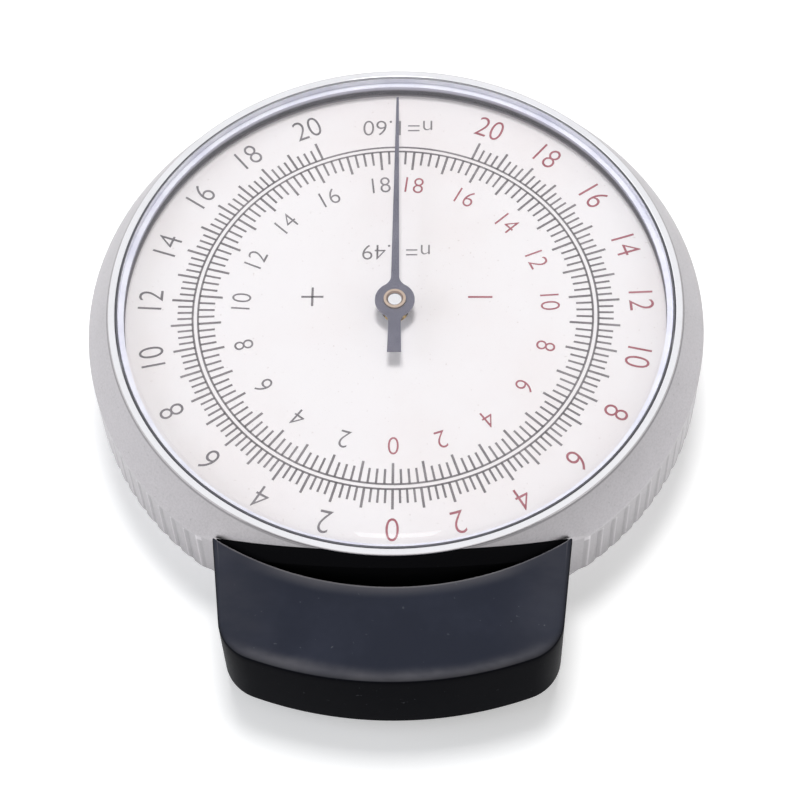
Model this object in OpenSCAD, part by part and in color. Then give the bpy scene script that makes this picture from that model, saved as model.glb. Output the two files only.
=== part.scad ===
// Lens clock: a dial gauge that reads the curvature of a lens through three feet.
// Millimetres. Origin on the dial axis at the back face, +Z towards the reader,
// -Y towards the feet. The pointer rests at +Y with the middle foot fully out.

/* [Case] */
// Radius over the fluted grip band
case_r = 27.75; // [27:0.25:30]
// Number of grooves round the band
flute_count = 108; // [72:4:136]
// Depth of one groove
flute_depth = 0.12; // [0.06:0.02:0.3]
// Width of one groove at its mouth
flute_w = 0.4; // [0.3:0.02:0.76]
// How far below the cone the grooves end
flute_stop = 0.45; // [0.2:0.05:1.5]
// Height of the back cover below the band
back_h = 3.25; // [3:0.05:3.6]
// Height of the fluted band
band_h = 6.0; // [5.8:0.05:7]
// Height of the plain cone between band and bezel
cone_h = 3.25; // [2.8:0.05:4]
// How far the cone draws in towards the bezel
cone_in = 2.1; // [1.6:0.05:2.2]
// Radial thickness of the case wall at the band
case_wall = 3.45; // [3:0.05:3.6]
// Depth of the cut that the foot block stands on, at its middle
cut_depth = 2.4; // [2.2:0.05:2.6]
// Radius of that gently curved cut, seen from above
cut_r = 44; // [40:0.5:60]
// Floor thickness of the back cover
back_floor = 1.3; // [1:0.1:1.6]

/* [Dial, bezel and crystal] */
// Depth of the dial face below the top of the case
dial_drop = 2.0; // [1.8:0.05:2.3]
// Thickness of the dial plate
dial_t = 0.5; // [0.3:0.05:0.7]
// Thickness of the ledge that the dial sits on
ledge_t = 0.6; // [0.5:0.05:0.8]
// Width of the ledge under the dial
ledge_w = 3.8; // [3.4:0.1:4.2]
// Wall thickness of the bezel skirt
skirt_t = 0.9; // [0.75:0.05:1]
// Height of the bezel rim above the case
rim_h = 0.15; // [0.1:0.05:0.6]
// Height of the crystal above the bezel rim
dome_h = 1.35; // [1.1:0.05:1.6]
// Thickness of the crystal
crystal_t = 0.9; // [0.7:0.05:1]
// Length of the pointer from its axis to its tip
pointer_len = 22.7; // [18:0.1:23]
// Length of the pointer tail
tail_len = 5.4; // [4:0.1:8]
// Radius of the pointer hub
hub_r = 1.78; // [1.5:0.02:2.2]
// Height of the pointer above the dial
pointer_lift = 1.65; // [1.2:0.05:1.75]

/* [Feet] */
// Distance of each fixed foot from the middle
foot_pitch = 10; // [9:0.1:10.5]
// Radius of the three feet
foot_r = 1.0; // [0.8:0.05:1.1]
// Height of the feet above the back face
foot_z = 5.6; // [5.4:0.05:5.8]
// How far the fixed feet stand out of the foot block
foot_out = 2.6; // [2:0.1:3]
// Thickness of the foot block's flange
flange_t = 0.9; // [0.7:0.05:1.2]
// Length of the foot block's nose beyond the flange
nose_len = 2.5; // [2:0.1:2.8]
// Width of the foot block's nose
nose_w = 25.6; // [24:0.2:25.8]

/* [Cap] */
// How far the cap's mouth corners stand out beyond the nose on each side
cap_mouth = 2.5; // [2.4:0.05:3]
// How far the cap's end stands out beyond the nose on each side
cap_tip = 1.5; // [1.4:0.05:2]
// Length over which the sides taper
cap_taper = 9; // [7:0.5:12]
// How far the cap's end stands out beyond the case
cap_end = 8.35; // [8:0.05:10]
// Height of the cap's underside above the back face
cap_z = 1.95; // [1.5:0.05:2]
// Thickness of the cap over its walls
cap_h = 8.55; // [8.3:0.05:9]
// Wall thickness of the cap
cap_wall = 1.3; // [1:0.05:1.4]
// Corner radius of the cap's end, seen from above
cap_corner = 3.0; // [2:0.1:4]
// Radius of the bowed end, seen from above
cap_bow = 34; // [30:0.5:45]

/* [Movement] */
// Thickness of the movement plates
plate_t = 1.0; // [0.8:0.05:1.1]
// Radius of the gear arbor and the centre arbor
arbor_r = 0.6; // [0.5:0.05:0.65]
// Module of the rack and its pinion
rack_module = 0.4; // [0.38:0.01:0.42]
// Teeth on the rack pinion
rack_teeth = 12; // [12:1:13]
// Module of the drive gear and the centre pinion
gear_module = 0.3; // [0.28:0.01:0.31]
// Teeth on the drive gear
gear_teeth = 46; // [44:1:47]
// Teeth on the centre pinion
centre_teeth = 12; // [12:1:13]
// Thickness of the drive gear
gear_t = 0.7; // [0.5:0.05:0.75]
// Turns of the hairspring
hair_turns = 5; // [3:1:6]
// Turns of the return spring
coil_turns = 6; // [4:1:8]
// Wire diameter of the return spring
coil_wire = 0.3; // [0.2:0.02:0.36]

/* [Hidden] */
$fn = 96;

// Clearances: a part that slides or turns, a part that is only located, and a loose gap
run_gap = 0.03;
fit_gap = 0.02;
loose_gap = 0.3;
// Overlap that carries a cut past the face it opens
past = 1;

// Levels from the back face upwards
band_z = back_h;
cone_z = band_z + band_h;
flute_top = cone_z - flute_stop;
top_z = cone_z + cone_h;
dial_z = top_z - dial_drop;
seat_z = dial_z - dial_t;
ledge_z = seat_z - ledge_t;
front_z = ledge_z - plate_t;
rim_z = top_z + rim_h;

// Radii from the outside inwards
bezel_r = case_r - cone_in;
bore_r = case_r - case_wall;
rim_wall = 0.35;
seat_r = bezel_r - rim_wall;
ledge_r = seat_r - ledge_w;
cut_y = case_r - cut_depth;
cut_c = cut_r - cut_y;
skirt_r = seat_r - 0.1;
sight_r = skirt_r - skirt_t;
plate_r = bore_r - 1;

// Foot block and its place against the cut
flange_y = cut_y + flange_t;
nose_y = flange_y + nose_len;
tip_y = nose_y + foot_out;
block_gap = 0.1;
flange_top = top_z - block_gap;
flange_low = back_h + block_gap;
flange_in = 0.315;
cap_mouth_x = nose_w / 2 + cap_mouth;
cap_tip_x = nose_w / 2 + cap_tip;
flange_half = cap_mouth_x - flange_in;
nose_half = 2.1;
tail_w = 17.8;
tail_low = foot_z - 1.75;
tail_high = foot_z + 2.7;
tail_len_in = 2.6;
tail_y = cut_y - tail_len_in;
foot_seat = 0.2;
screw_grip = 2.3;
screw_clear = 0.2;
screw_end = screw_grip - cut_y;
bush_r = 1.5;

// Gear train: the rack turns its pinion, and the drive gear turns the centre pinion
rack_line = 0.6;
rack_pinion_r = rack_module * rack_teeth / 2;
drive_r = gear_module * gear_teeth / 2;
centre_r = gear_module * centre_teeth / 2;
train_d = drive_r + centre_r;
arbor_x = -(rack_line + rack_pinion_r);
arbor_y = -sqrt(train_d * train_d - arbor_x * arbor_x);
train_angle = atan2(-arbor_y, -arbor_x);
gear_z = front_z - 0.3 - gear_t;
pressure = 20;
thin = 0.85;
// The middle foot stands out by half a turn of the pointer when it is free
free_out = PI * rack_pinion_r * centre_teeth / gear_teeth;
stroke = 3.9;

// Movement levels
back_plate_z = 2.2;
back_plate_top = back_plate_z + plate_t;
back_plate_r = 20.4;
pivot_r = 0.35;
rod_r = 0.8;
rack_h = 1.6;
rack_back = 0.8;
rack_end_y = arbor_y + 1.6 * PI * rack_module;
rack_start_y = arbor_y - stroke - 1.6 * PI * rack_module;
bracket_y = rack_start_y - 0.5;
bracket_t = 1;
bracket_w = 7;
bracket_top = foot_z + 1.5;
collar_r = 1.75;
collar_t = 0.8;
coil_r = 1.3;
hair_z = back_plate_top + 0.3;
hair_h = 0.4;
hair_in = 1.2;
hair_out = 5.2;
hair_w = 0.16;
hub_t = 0.25;
collet_r = 1.0;
shoulder_r = 1.4;
shoulder_h = 0.3;

// Places of the fasteners, as angles from +X
pillar_ring = 16.8;
pillar_angles = [90, 225, 315];
cover_ring = 18.4;
cover_angles = [30, 150, 270];
plate_ring = (ledge_r + plate_r) / 2;
plate_angles = [65, 190, 350];
dial_foot_ring = 15;
dial_foot_angles = [20, 160];
screw_r = 0.55;
screw_head_r = 1.1;
screw_head_h = 0.6;
screw_short = 0.2;
pillar_r = 1.5;
pillar_thread = 2;
pillar_tap = pillar_thread + screw_short;
boss_r = 1.8;
dial_foot_r = 0.6;
centre_bush_r = 1.4;
bracket_screw_r = 0.4;
bracket_thread = 1.4;
bracket_tap = bracket_thread + screw_short;
bracket_head_h = 0.5;
// Depth of the back cover's screw heads below its face
head_sink = 0.2;

function polar(r, a) = [r * cos(a), r * sin(a)];
function arc(c, r, from, to, steps) =
    [for (i = [0 : steps]) c + polar(r, from + (to - from) * i / steps)];
function flip(points) = [for (i = [len(points) - 1 : -1 : 0]) points[i]];
function mirrored(points) = [for (p = flip(points)) [-p[0], p[1]]];

// Half the angle of an involute tooth at radius r, on a gear of pitch radius rp
function roll(a) = tan(a) * 180 / PI - a;
function tooth_half(r, rp, teeth) =
    let (base = rp * cos(pressure))
    90 / teeth * thin + roll(pressure) - (r > base ? roll(acos(base / r)) : 0);
function gear_outline(module_mm, teeth, tip, root, phase) =
    let (
        rp = module_mm * teeth / 2,
        low = rp - module_mm * root,
        high = rp + module_mm * tip,
        steps = 4,
        radii = [for (i = [0 : steps]) low + (high - low) * i / steps]
    )
    [for (k = [0 : teeth - 1])
        let (mid = phase + 360 * k / teeth)
        each concat(
            [for (r = radii) polar(r, mid - tooth_half(r, rp, teeth))],
            [for (r = flip(radii)) polar(r, mid + tooth_half(r, rp, teeth))]
        )];

// Closed tube swept along points that climb along +Y
function ring_at(points, i, r, sides) =
    let (
        ahead = points[min(i + 1, len(points) - 1)],
        behind = points[max(i - 1, 0)],
        along = (ahead - behind) / norm(ahead - behind),
        out_raw = [points[i][0], 0, points[i][2]],
        out = out_raw / norm(out_raw),
        up = cross(along, out)
    )
    [for (s = [0 : sides - 1]) points[i] + r * (cos(360 * s / sides) * out + sin(360 * s / sides) * up)];
module tube(points, r, sides) {
    rings = len(points);
    vertices = [for (i = [0 : rings - 1]) each ring_at(points, i, r, sides)];
    walls = [for (i = [0 : rings - 2], s = [0 : sides - 1])
        let (a = i * sides + s, b = i * sides + (s + 1) % sides)
        each [[a, b, a + sides], [b, b + sides, a + sides]]];
    start = [for (s = [1 : sides - 2]) [0, s + 1, s]];
    last = (rings - 1) * sides;
    finish = [for (s = [1 : sides - 2]) [last, last + s, last + s + 1]];
    polyhedron(vertices, concat(walls, start, finish));
}

module disc(r, z0, z1) { translate([0, 0, z0]) cylinder(r = r, h = z1 - z0); }
module at_polar(r, angles) { for (a = angles) rotate(a) translate([r, 0, 0]) children(); }
// Rod along +Y, from y0 to y1, at the feet's height
module rod(r, y0, y1, x = 0) { translate([x, y0, foot_z]) rotate([-90, 0, 0]) cylinder(r = r, h = y1 - y0); }
// Block by its lowest and highest corners
module block(low, high) { translate(low) cube(high - low); }

// Screw that points up from its head's outer face at z
module screw_up(z, head_r, head_h, shank_r, length) {
    slot_w = head_r * 0.3;
    difference() {
        union() {
            disc(head_r, z, z + head_h);
            disc(shank_r, z, z + head_h + length);
        }
        translate([-head_r - past, -slot_w / 2, z - past])
            cube([2 * (head_r + past), slot_w, past + head_h / 2]);
    }
}

// Grooves of the band, drawn out past the case so that the lands between them stay round
module flute_outline() {
    reach = 1.5;
    groove = reach * flute_w / case_r * 90 / PI;
    outer_r = case_r + (reach - 1) * flute_depth;
    polygon([for (k = [0 : flute_count - 1])
        let (a = 360 * k / flute_count, next = a + 360 / flute_count)
        each [polar(case_r - flute_depth, a), polar(outer_r, a + groove), polar(outer_r, next - groove)]]);
}

// Outer form of the case, drawn in by gap, and the curved face of its cut
module envelope(gap) {
    disc(case_r - flute_depth / 4 - gap, 0, cone_z);
    translate([0, 0, cone_z]) cylinder(r1 = case_r - flute_depth / 4 - gap, r2 = bezel_r - gap, h = cone_h);
}
module cut_face(extra, z0, z1) {
    translate([0, cut_c, 0]) disc(cut_r + extra, z0, z1, $fn = 240);
}

module case_body() {
    color("silver") difference() {
        intersection() {
            union() {
                disc(case_r, band_z, cone_z);
                translate([0, 0, cone_z]) cylinder(r1 = case_r, r2 = bezel_r, h = cone_h);
            }
            union() {
                translate([0, 0, band_z - past])
                    linear_extrude(flute_top - band_z + 2 * past) flute_outline();
                disc(case_r + past, flute_top, top_z + past);
            }
            cut_face(0, band_z - past, top_z + past);
        }
        disc(bore_r, band_z - past, ledge_z);
        disc(ledge_r, ledge_z - past, top_z + past);
        disc(seat_r, seat_z, top_z + past);
        block([-tail_w / 2 - block_gap, -cut_y - past, tail_low - block_gap],
            [tail_w / 2 + block_gap, -tail_y, tail_high + block_gap]);
        for (s = [-1, 1])
            rod(screw_r + fit_gap, -cut_y - past, screw_end + screw_clear, s * foot_pitch, $fn = 32);
        at_polar(plate_ring, plate_angles) disc(screw_r + fit_gap, ledge_z - past, seat_z - 0.1, $fn = 32);
    }
}

module back_cover() {
    groove_r = 20.2;
    groove = 0.2;
    chamfer = 1.8;
    lip_r = case_r - 0.75;
    spigot_h = tail_low - block_gap - band_z;
    spigot_t = 1.2;
    color("silver") difference() {
        union() {
            rotate_extrude() polygon([
                [0, 0], [groove_r, 0], [groove_r + groove, groove], [groove_r + 2 * groove, 0],
                [lip_r - chamfer, 0], [lip_r, chamfer], [lip_r, band_z], [bore_r - fit_gap, band_z],
                [bore_r - fit_gap, band_z + spigot_h], [bore_r - spigot_t, band_z + spigot_h],
                [bore_r - spigot_t, back_floor], [0, back_floor]
            ]);
            at_polar(cover_ring, cover_angles) disc(boss_r, back_floor, back_plate_z);
        }
        at_polar(cover_ring, cover_angles) {
            disc(screw_head_r + fit_gap, -past, head_sink + screw_head_h, $fn = 32);
            disc(screw_r + fit_gap, head_sink, back_plate_z + past, $fn = 32);
        }
    }
}

module back_cover_screws() {
    reach = back_plate_top - head_sink - screw_head_h - screw_short;
    color("dimgray") at_polar(cover_ring, cover_angles)
        screw_up(head_sink, screw_head_r, screw_head_h, screw_r, reach, $fn = 32);
}

// Rim of the bezel, the seat sunk into it, and the sleeve that seals the crystal's edge
bead_r = 0.8 * rim_h;
rim_chamfer = 0.12;
rim_land = 0.7;
seat_sink = 0.75;
edge_sink = 0.1;
gasket_w = 0.15;
crystal_foot = 0.5;
crystal_seat = rim_z - seat_sink;
crystal_edge_z = rim_z - edge_sink;
land_r = bezel_r - rim_land;
gasket_r = land_r - fit_gap;
crystal_r = gasket_r - gasket_w - fit_gap;

module bezel() {
    color("gainsboro") rotate_extrude() polygon(concat(
        [[sight_r, dial_z], [skirt_r, dial_z], [skirt_r, top_z], [bezel_r, top_z]],
        arc([bezel_r - bead_r, rim_z - bead_r], bead_r, 0, 90, 6),
        [[land_r + rim_chamfer, rim_z], [land_r, rim_z - rim_chamfer], [land_r, crystal_seat],
            [sight_r, crystal_seat]]
    ));
}

module crystal_gasket() {
    color("dimgray") difference() {
        disc(gasket_r, crystal_seat, crystal_edge_z);
        disc(gasket_r - gasket_w, crystal_seat - past, crystal_edge_z + past);
    }
}

// Crystal: a shallow dome that rolls over into a plain edge, hollowed below
module crystal() {
    top = rim_z + dome_h;
    crown = 0.15;
    shoulder = 3;
    flat_r = crystal_r - shoulder;
    flat_z = top - crown;
    inner_r = shoulder - crystal_foot;
    dome = [for (i = [0 : 9]) let (t = i / 10) [flat_r * t, top - crown * t * t]];
    roll_over = [for (i = [0 : 9]) let (a = 90 * i / 9)
        [flat_r + shoulder * sin(a), crystal_edge_z + (flat_z - crystal_edge_z) * cos(a)]];
    roll_in = [for (i = [9 : -1 : 1]) let (a = 90 * i / 9)
        [flat_r + inner_r * sin(a), crystal_seat + (flat_z - crystal_t - crystal_seat) * cos(a)]];
    under = [for (i = [10 : -1 : 0]) let (t = i / 10) [flat_r * t, top - crystal_t - crown * t * t]];
    color("azure", 0.3) rotate_extrude()
        polygon(concat(dome, roll_over, [[crystal_r, crystal_seat]], roll_in, under));
}

module dial_plate() {
    color("white") difference() {
        disc(seat_r - fit_gap, seat_z, dial_z);
        disc(arbor_r + 0.6, seat_z - past, dial_z + past);
    }
}

module dial_feet() {
    color("goldenrod") at_polar(dial_foot_ring, dial_foot_angles)
        disc(dial_foot_r, front_z, seat_z, $fn = 32);
}

module front_plate() {
    color("goldenrod") difference() {
        disc(plate_r, front_z, ledge_z);
        disc(centre_bush_r + fit_gap, front_z - past, ledge_z + past, $fn = 48);
        translate([arbor_x, arbor_y, 0]) disc(pivot_r + run_gap, front_z - past, ledge_z + past, $fn = 32);
        at_polar(dial_foot_ring, dial_foot_angles)
            disc(dial_foot_r + fit_gap, front_z - past, ledge_z + past, $fn = 32);
        at_polar(plate_ring, plate_angles) disc(screw_r + fit_gap, front_z - past, ledge_z + past, $fn = 32);
    }
}

module plate_screws() {
    color("silver") at_polar(plate_ring, plate_angles)
        screw_up(front_z - screw_head_h, screw_head_r, screw_head_h, screw_r, plate_t + ledge_t - 0.15,
            $fn = 32);
}

module back_plate() {
    color("goldenrod") difference() {
        disc(back_plate_r, back_plate_z, back_plate_top);
        disc(pivot_r + run_gap, back_plate_z - past, back_plate_top + past, $fn = 32);
        translate([arbor_x, arbor_y, 0])
            disc(pivot_r + run_gap, back_plate_z - past, back_plate_top + past, $fn = 32);
        at_polar(pillar_ring, pillar_angles)
            disc(screw_r + fit_gap, back_plate_z - past, back_plate_top + past, $fn = 32);
        at_polar(cover_ring, cover_angles)
            disc(screw_r + fit_gap, back_plate_z - past, back_plate_top + past, $fn = 32);
        for (s = [-1, 1])
            translate([s * bracket_w / 3, -0.5 * bracket_t + bracket_y, 0])
                disc(bracket_screw_r + fit_gap, back_plate_z - past, back_plate_top + past, $fn = 32);
    }
}

module pillars() {
    color("goldenrod") at_polar(pillar_ring, pillar_angles) difference() {
        disc(pillar_r, back_plate_top, front_z);
        disc(screw_r + fit_gap, back_plate_top - past, back_plate_top + pillar_tap, $fn = 32);
    }
}

module pillar_screws() {
    color("silver") at_polar(pillar_ring, pillar_angles)
        screw_up(back_plate_z - screw_head_h, screw_head_r, screw_head_h, screw_r, plate_t + pillar_thread,
            $fn = 32);
}

module centre_bush() {
    color("gold") difference() {
        disc(centre_bush_r, front_z, ledge_z);
        disc(arbor_r + run_gap, front_z - past, ledge_z + past, $fn = 32);
    }
}

// Centre arbor with its pinion. A gap of the pinion faces the gear arbor.
module centre_arbor() {
    pinion_low = gear_z - 0.2;
    pinion_high = gear_z + gear_t + 0.1;
    color("lightsteelblue") {
        disc(arbor_r, back_plate_top + 0.1, dial_z + pointer_lift + hub_t, $fn = 32);
        disc(pivot_r, back_plate_z, back_plate_top + 0.1, $fn = 32);
        translate([0, 0, pinion_low]) linear_extrude(pinion_high - pinion_low)
            polygon(gear_outline(gear_module, centre_teeth, 0.85, 1.15, train_angle + 180 + 180 / centre_teeth));
    }
}

// Gear arbor with the rack pinion. A tooth of the pinion faces the rack.
module gear_arbor() {
    color("lightsteelblue") translate([arbor_x, arbor_y, 0]) {
        disc(arbor_r, back_plate_top + 0.1, front_z - 0.1, $fn = 32);
        disc(pivot_r, back_plate_z, ledge_z, $fn = 32);
        translate([0, 0, foot_z - rack_h / 2 - 0.1]) linear_extrude(rack_h + 0.2)
            polygon(gear_outline(rack_module, rack_teeth, 0.9, 1.1, 0));
    }
}

module drive_gear() {
    color("gold") translate([arbor_x, arbor_y, gear_z]) difference() {
        linear_extrude(gear_t) polygon(gear_outline(gear_module, gear_teeth, 0.72, 1.1, train_angle));
        translate([0, 0, -past]) cylinder(r = arbor_r + fit_gap, h = gear_t + 2 * past, $fn = 32);
        for (a = [45 : 90 : 315]) rotate(a) translate([drive_r * 0.55, 0, -past])
            cylinder(r = drive_r * 0.2, h = gear_t + 2 * past, $fn = 32);
    }
}

module hairspring_collet() {
    color("gold") difference() {
        disc(hair_in, hair_z - 0.15, hair_z + hair_h + 0.15, $fn = 32);
        disc(arbor_r + fit_gap, hair_z - past, hair_z + hair_h + past, $fn = 32);
    }
}

module hairspring() {
    steps = hair_turns * 24;
    function at(i) = hair_in + 0.05 + hair_w / 2 + (hair_out - hair_in) * i / steps;
    color("steelblue") translate([0, 0, hair_z]) linear_extrude(hair_h) polygon(concat(
        [for (i = [0 : steps]) polar(at(i) + hair_w / 2, 15 * i)],
        [for (i = [steps : -1 : 0]) polar(at(i) - hair_w / 2, 15 * i)]));
}

module hairspring_stud() {
    stud_r = 0.5;
    color("silver") translate([hair_out + hair_w + 0.1 + stud_r, 0, 0])
        disc(stud_r, back_plate_top, hair_z + hair_h + 0.2, $fn = 32);
}

// Pointer outline: a tapering blade, a round hub and a short flared tail
module pointer() {
    blade = 0.36;
    point = 0.11;
    waist = 0.55;
    flare = 0.62;
    join = 0.7 * hub_r;
    blend = 1.4 * hub_r;
    neck = 1.3 * hub_r;
    steps = 6;
    function ease(t) = pow(1 - t, 2.2);
    side = concat(
        [[flare, -tail_len], [waist, -neck - 0.3]],
        [for (i = [0 : steps]) let (t = 1 - i / steps)
            [waist + (join - waist) * ease(t), -join - (neck - join) * t]],
        [for (i = [0 : steps]) let (t = i / steps)
            [blade + (join - blade) * ease(t), join + (blend - join) * t]],
        [[point, pointer_len]]);
    color("slategray") translate([0, 0, dial_z + pointer_lift]) linear_extrude(hub_t) difference() {
        union() {
            polygon(concat(side, mirrored(side)));
            circle(r = hub_r);
        }
        circle(r = collet_r + fit_gap, $fn = 48);
    }
}

module pointer_collet() {
    low = dial_z + 0.35;
    color("gold") difference() {
        union() {
            disc(collet_r, low, dial_z + pointer_lift + hub_t + 0.2, $fn = 48);
            disc(shoulder_r, dial_z + pointer_lift - shoulder_h, dial_z + pointer_lift, $fn = 48);
        }
        disc(arbor_r + fit_gap, low - past, dial_z + pointer_lift + hub_t + past, $fn = 32);
    }
}

// Plunger: the middle foot, its rod and the seat of the rack
module plunger() {
    out_y = tip_y + free_out;
    color("silver") union() {
        rod(foot_r, -out_y + foot_r, -tail_y, $fn = 48);
        translate([0, -out_y + foot_r, foot_z]) sphere(r = foot_r, $fn = 48);
        rod(rod_r, -tail_y, rack_start_y, $fn = 48);
    }
}

module plunger_rack() {
    pitch = PI * rack_module;
    line = -rack_line;
    tip = line - 0.68 * rack_module;
    root = line + 1.1 * rack_module;
    half = pitch / 4 * thin;
    lean = tan(pressure);
    first = ceil((rack_start_y - arbor_y) / pitch);
    last = floor((rack_end_y - arbor_y) / pitch) - 1;
    teeth = [for (k = [last : -1 : first])
        let (mid = arbor_y + (k + 0.5) * pitch)
        each [[root, mid + half + (root - line) * lean], [tip, mid + half + (tip - line) * lean],
            [tip, mid - half - (tip - line) * lean], [root, mid - half - (root - line) * lean]]];
    color("lightsteelblue") translate([0, 0, foot_z - rack_h / 2]) linear_extrude(rack_h)
        polygon(concat([[rack_back, rack_start_y], [rack_back, rack_end_y], [root, rack_end_y]],
            teeth, [[root, rack_start_y]]));
}

module plunger_collar() {
    color("gold") difference() {
        rod(collar_r, -tail_y + fit_gap, -tail_y + collar_t, $fn = 48);
        rod(rod_r + fit_gap, -tail_y - past, -tail_y + collar_t + past, $fn = 48);
    }
}

module return_spring() {
    y0 = -tail_y + collar_t + coil_wire / 2 + 0.05;
    y1 = bracket_y - bracket_t - coil_wire / 2 - 0.05;
    steps = coil_turns * 16;
    color("silver") translate([0, 0, foot_z]) tube([for (i = [0 : steps])
        [coil_r * cos(22.5 * i), y0 + (y1 - y0) * i / steps, coil_r * sin(22.5 * i)]], coil_wire / 2, 6);
}

module spring_bracket() {
    color("goldenrod") difference() {
        block([-bracket_w / 2, bracket_y - bracket_t, back_plate_top], [bracket_w / 2, bracket_y, bracket_top]);
        rod(rod_r + run_gap, bracket_y - bracket_t - past, bracket_y + past, $fn = 48);
        for (s = [-1, 1]) translate([s * bracket_w / 3, bracket_y - bracket_t / 2, 0])
            disc(bracket_screw_r + fit_gap, back_plate_top - past, back_plate_top + bracket_tap, $fn = 32);
    }
}

module bracket_screws() {
    color("silver") for (s = [-1, 1]) translate([s * bracket_w / 3, bracket_y - bracket_t / 2, 0])
        screw_up(back_plate_z - bracket_head_h, 2 * bracket_screw_r, bracket_head_h, bracket_screw_r,
            plate_t + bracket_thread, $fn = 32);
}

module foot_block() {
    color("black") difference() {
        union() {
            difference() {
                union() {
                    intersection() {
                        cut_face(flange_t, flange_low, flange_top);
                        envelope(0.05);
                        block([-flange_half, -case_r, 0], [flange_half, 0, rim_z]);
                    }
                    block([-nose_w / 2, -nose_y, foot_z - nose_half], [nose_w / 2, 0, foot_z + nose_half]);
                }
                cut_face(0, 0, rim_z);
            }
            block([-tail_w / 2, -cut_y - 0.1, tail_low], [tail_w / 2, -tail_y, tail_high]);
        }
        rod(bush_r + fit_gap, -nose_y - past, -tail_y + past, $fn = 48);
        for (s = [-1, 1]) {
            rod(foot_r + fit_gap, -nose_y - past, -flange_y + foot_seat, s * foot_pitch, $fn = 48);
            rod(screw_r + fit_gap, -flange_y - past, -tail_y + past, s * foot_pitch, $fn = 32);
        }
    }
}

// Screws that hold the foot block to the case, driven up the bores of the fixed feet
module foot_screws() {
    color("silver") for (s = [-1, 1])
        rod(screw_r, -flange_y + foot_seat, screw_end, s * foot_pitch, $fn = 32);
}

module plunger_bush() {
    color("gold") difference() {
        rod(bush_r, -nose_y, -tail_y, $fn = 48);
        rod(foot_r + run_gap, -nose_y - past, -tail_y + past, $fn = 48);
    }
}

module fixed_foot(side) {
    color("silver") union() {
        rod(foot_r, -tip_y + foot_r, -flange_y + foot_seat, side * foot_pitch, $fn = 48);
        translate([side * foot_pitch, -tip_y + foot_r, foot_z]) sphere(r = foot_r, $fn = 48);
    }
}

// Plan of the cap: tapering sides, round corners and a bowed end, drawn in by inset
cap_rim = case_r + loose_gap;
cap_corner_y = -0.83 * case_r;
cap_lean = atan((cap_mouth_x - cap_tip_x) / cap_taper);
cap_bow_c = [0, cap_bow - case_r - cap_end];
// Centre of a corner arc, tangent inside to the side line and to the bowed end
corner_a = cap_mouth_x - cap_corner / cos(cap_lean) - cap_corner_y * tan(cap_lean);
corner_b = tan(cap_lean);
corner_p = 1 + corner_b * corner_b;
corner_q = corner_a * corner_b - cap_bow_c[1];
corner_s = corner_a * corner_a + cap_bow_c[1] * cap_bow_c[1] - pow(cap_bow - cap_corner, 2);
corner_y = (-corner_q - sqrt(corner_q * corner_q - corner_p * corner_s)) / corner_p;
corner_x = corner_a + corner_b * corner_y;
corner_turn = atan2(corner_y - cap_bow_c[1], corner_x);

function cap_plan(inset) =
    let (
        mouth_y = cap_corner_y + 2,
        right = concat(
            arc(cap_bow_c, cap_bow - inset, -90, corner_turn, 10),
            [for (p = arc([corner_x, corner_y], cap_corner - inset, corner_turn, -cap_lean, 8)) if (p[0] > 0) p],
            [[cap_mouth_x - inset / cos(cap_lean) + (mouth_y - cap_corner_y) * corner_b, mouth_y]])
    )
    concat(right, [for (i = [len(right) - 1 : -1 : 1]) [-right[i][0], right[i][1]]]);

module protective_cap() {
    color("dimgray") difference() {
        translate([0, 0, cap_z]) linear_extrude(cap_h) polygon(cap_plan(0));
        translate([0, 0, cap_z + cap_wall]) linear_extrude(cap_h - 2 * cap_wall)
            polygon(cap_plan(cap_wall));
        disc(cap_rim, cap_z - past, cone_z);
        translate([0, 0, cone_z]) cylinder(r1 = cap_rim, r2 = cap_rim - cone_in, h = cone_h);
    }
}

case_body();
back_cover();
back_cover_screws();
bezel();
crystal();
crystal_gasket();
dial_plate();
dial_feet();
pointer();
pointer_collet();
centre_arbor();
hairspring();
hairspring_collet();
hairspring_stud();
gear_arbor();
drive_gear();
front_plate();
back_plate();
pillars();
pillar_screws();
plate_screws();
centre_bush();
plunger();
plunger_rack();
plunger_collar();
return_spring();
spring_bracket();
bracket_screws();
foot_block();
foot_screws();
plunger_bush();
fixed_foot(-1);  // left_foot
fixed_foot(1);  // right_foot
protective_cap();
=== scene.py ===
"""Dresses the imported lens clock: its finishes, its dial print, a soft studio and the camera."""

import logging
import math
from dataclasses import dataclass
from enum import Enum
from functools import cache
from typing import Any, Callable, Iterable, NamedTuple, Sequence

import bmesh
import bpy
from mathutils import Matrix, Vector


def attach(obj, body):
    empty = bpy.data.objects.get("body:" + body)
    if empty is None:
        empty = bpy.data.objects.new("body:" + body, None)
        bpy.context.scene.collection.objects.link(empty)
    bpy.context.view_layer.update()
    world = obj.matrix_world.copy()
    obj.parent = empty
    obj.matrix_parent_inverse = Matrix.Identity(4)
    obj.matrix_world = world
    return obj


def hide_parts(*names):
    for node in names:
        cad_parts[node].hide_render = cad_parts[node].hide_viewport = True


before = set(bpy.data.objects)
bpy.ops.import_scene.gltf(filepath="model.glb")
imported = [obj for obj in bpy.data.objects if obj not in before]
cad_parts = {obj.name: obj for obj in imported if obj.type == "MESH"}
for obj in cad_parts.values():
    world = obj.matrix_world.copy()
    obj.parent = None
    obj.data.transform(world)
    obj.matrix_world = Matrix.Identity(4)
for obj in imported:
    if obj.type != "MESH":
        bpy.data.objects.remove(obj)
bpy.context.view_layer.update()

LOG = logging.getLogger("lens_clock")
MM = 0.001
PER_M = 1000.0

Colour = tuple[float, float, float]
Point2 = tuple[float, float]
Point3 = tuple[float, float, float]
Span = tuple[float, float]
Material = bpy.types.Material
Mesh = bpy.types.Mesh
Piece = bpy.types.Object

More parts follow.
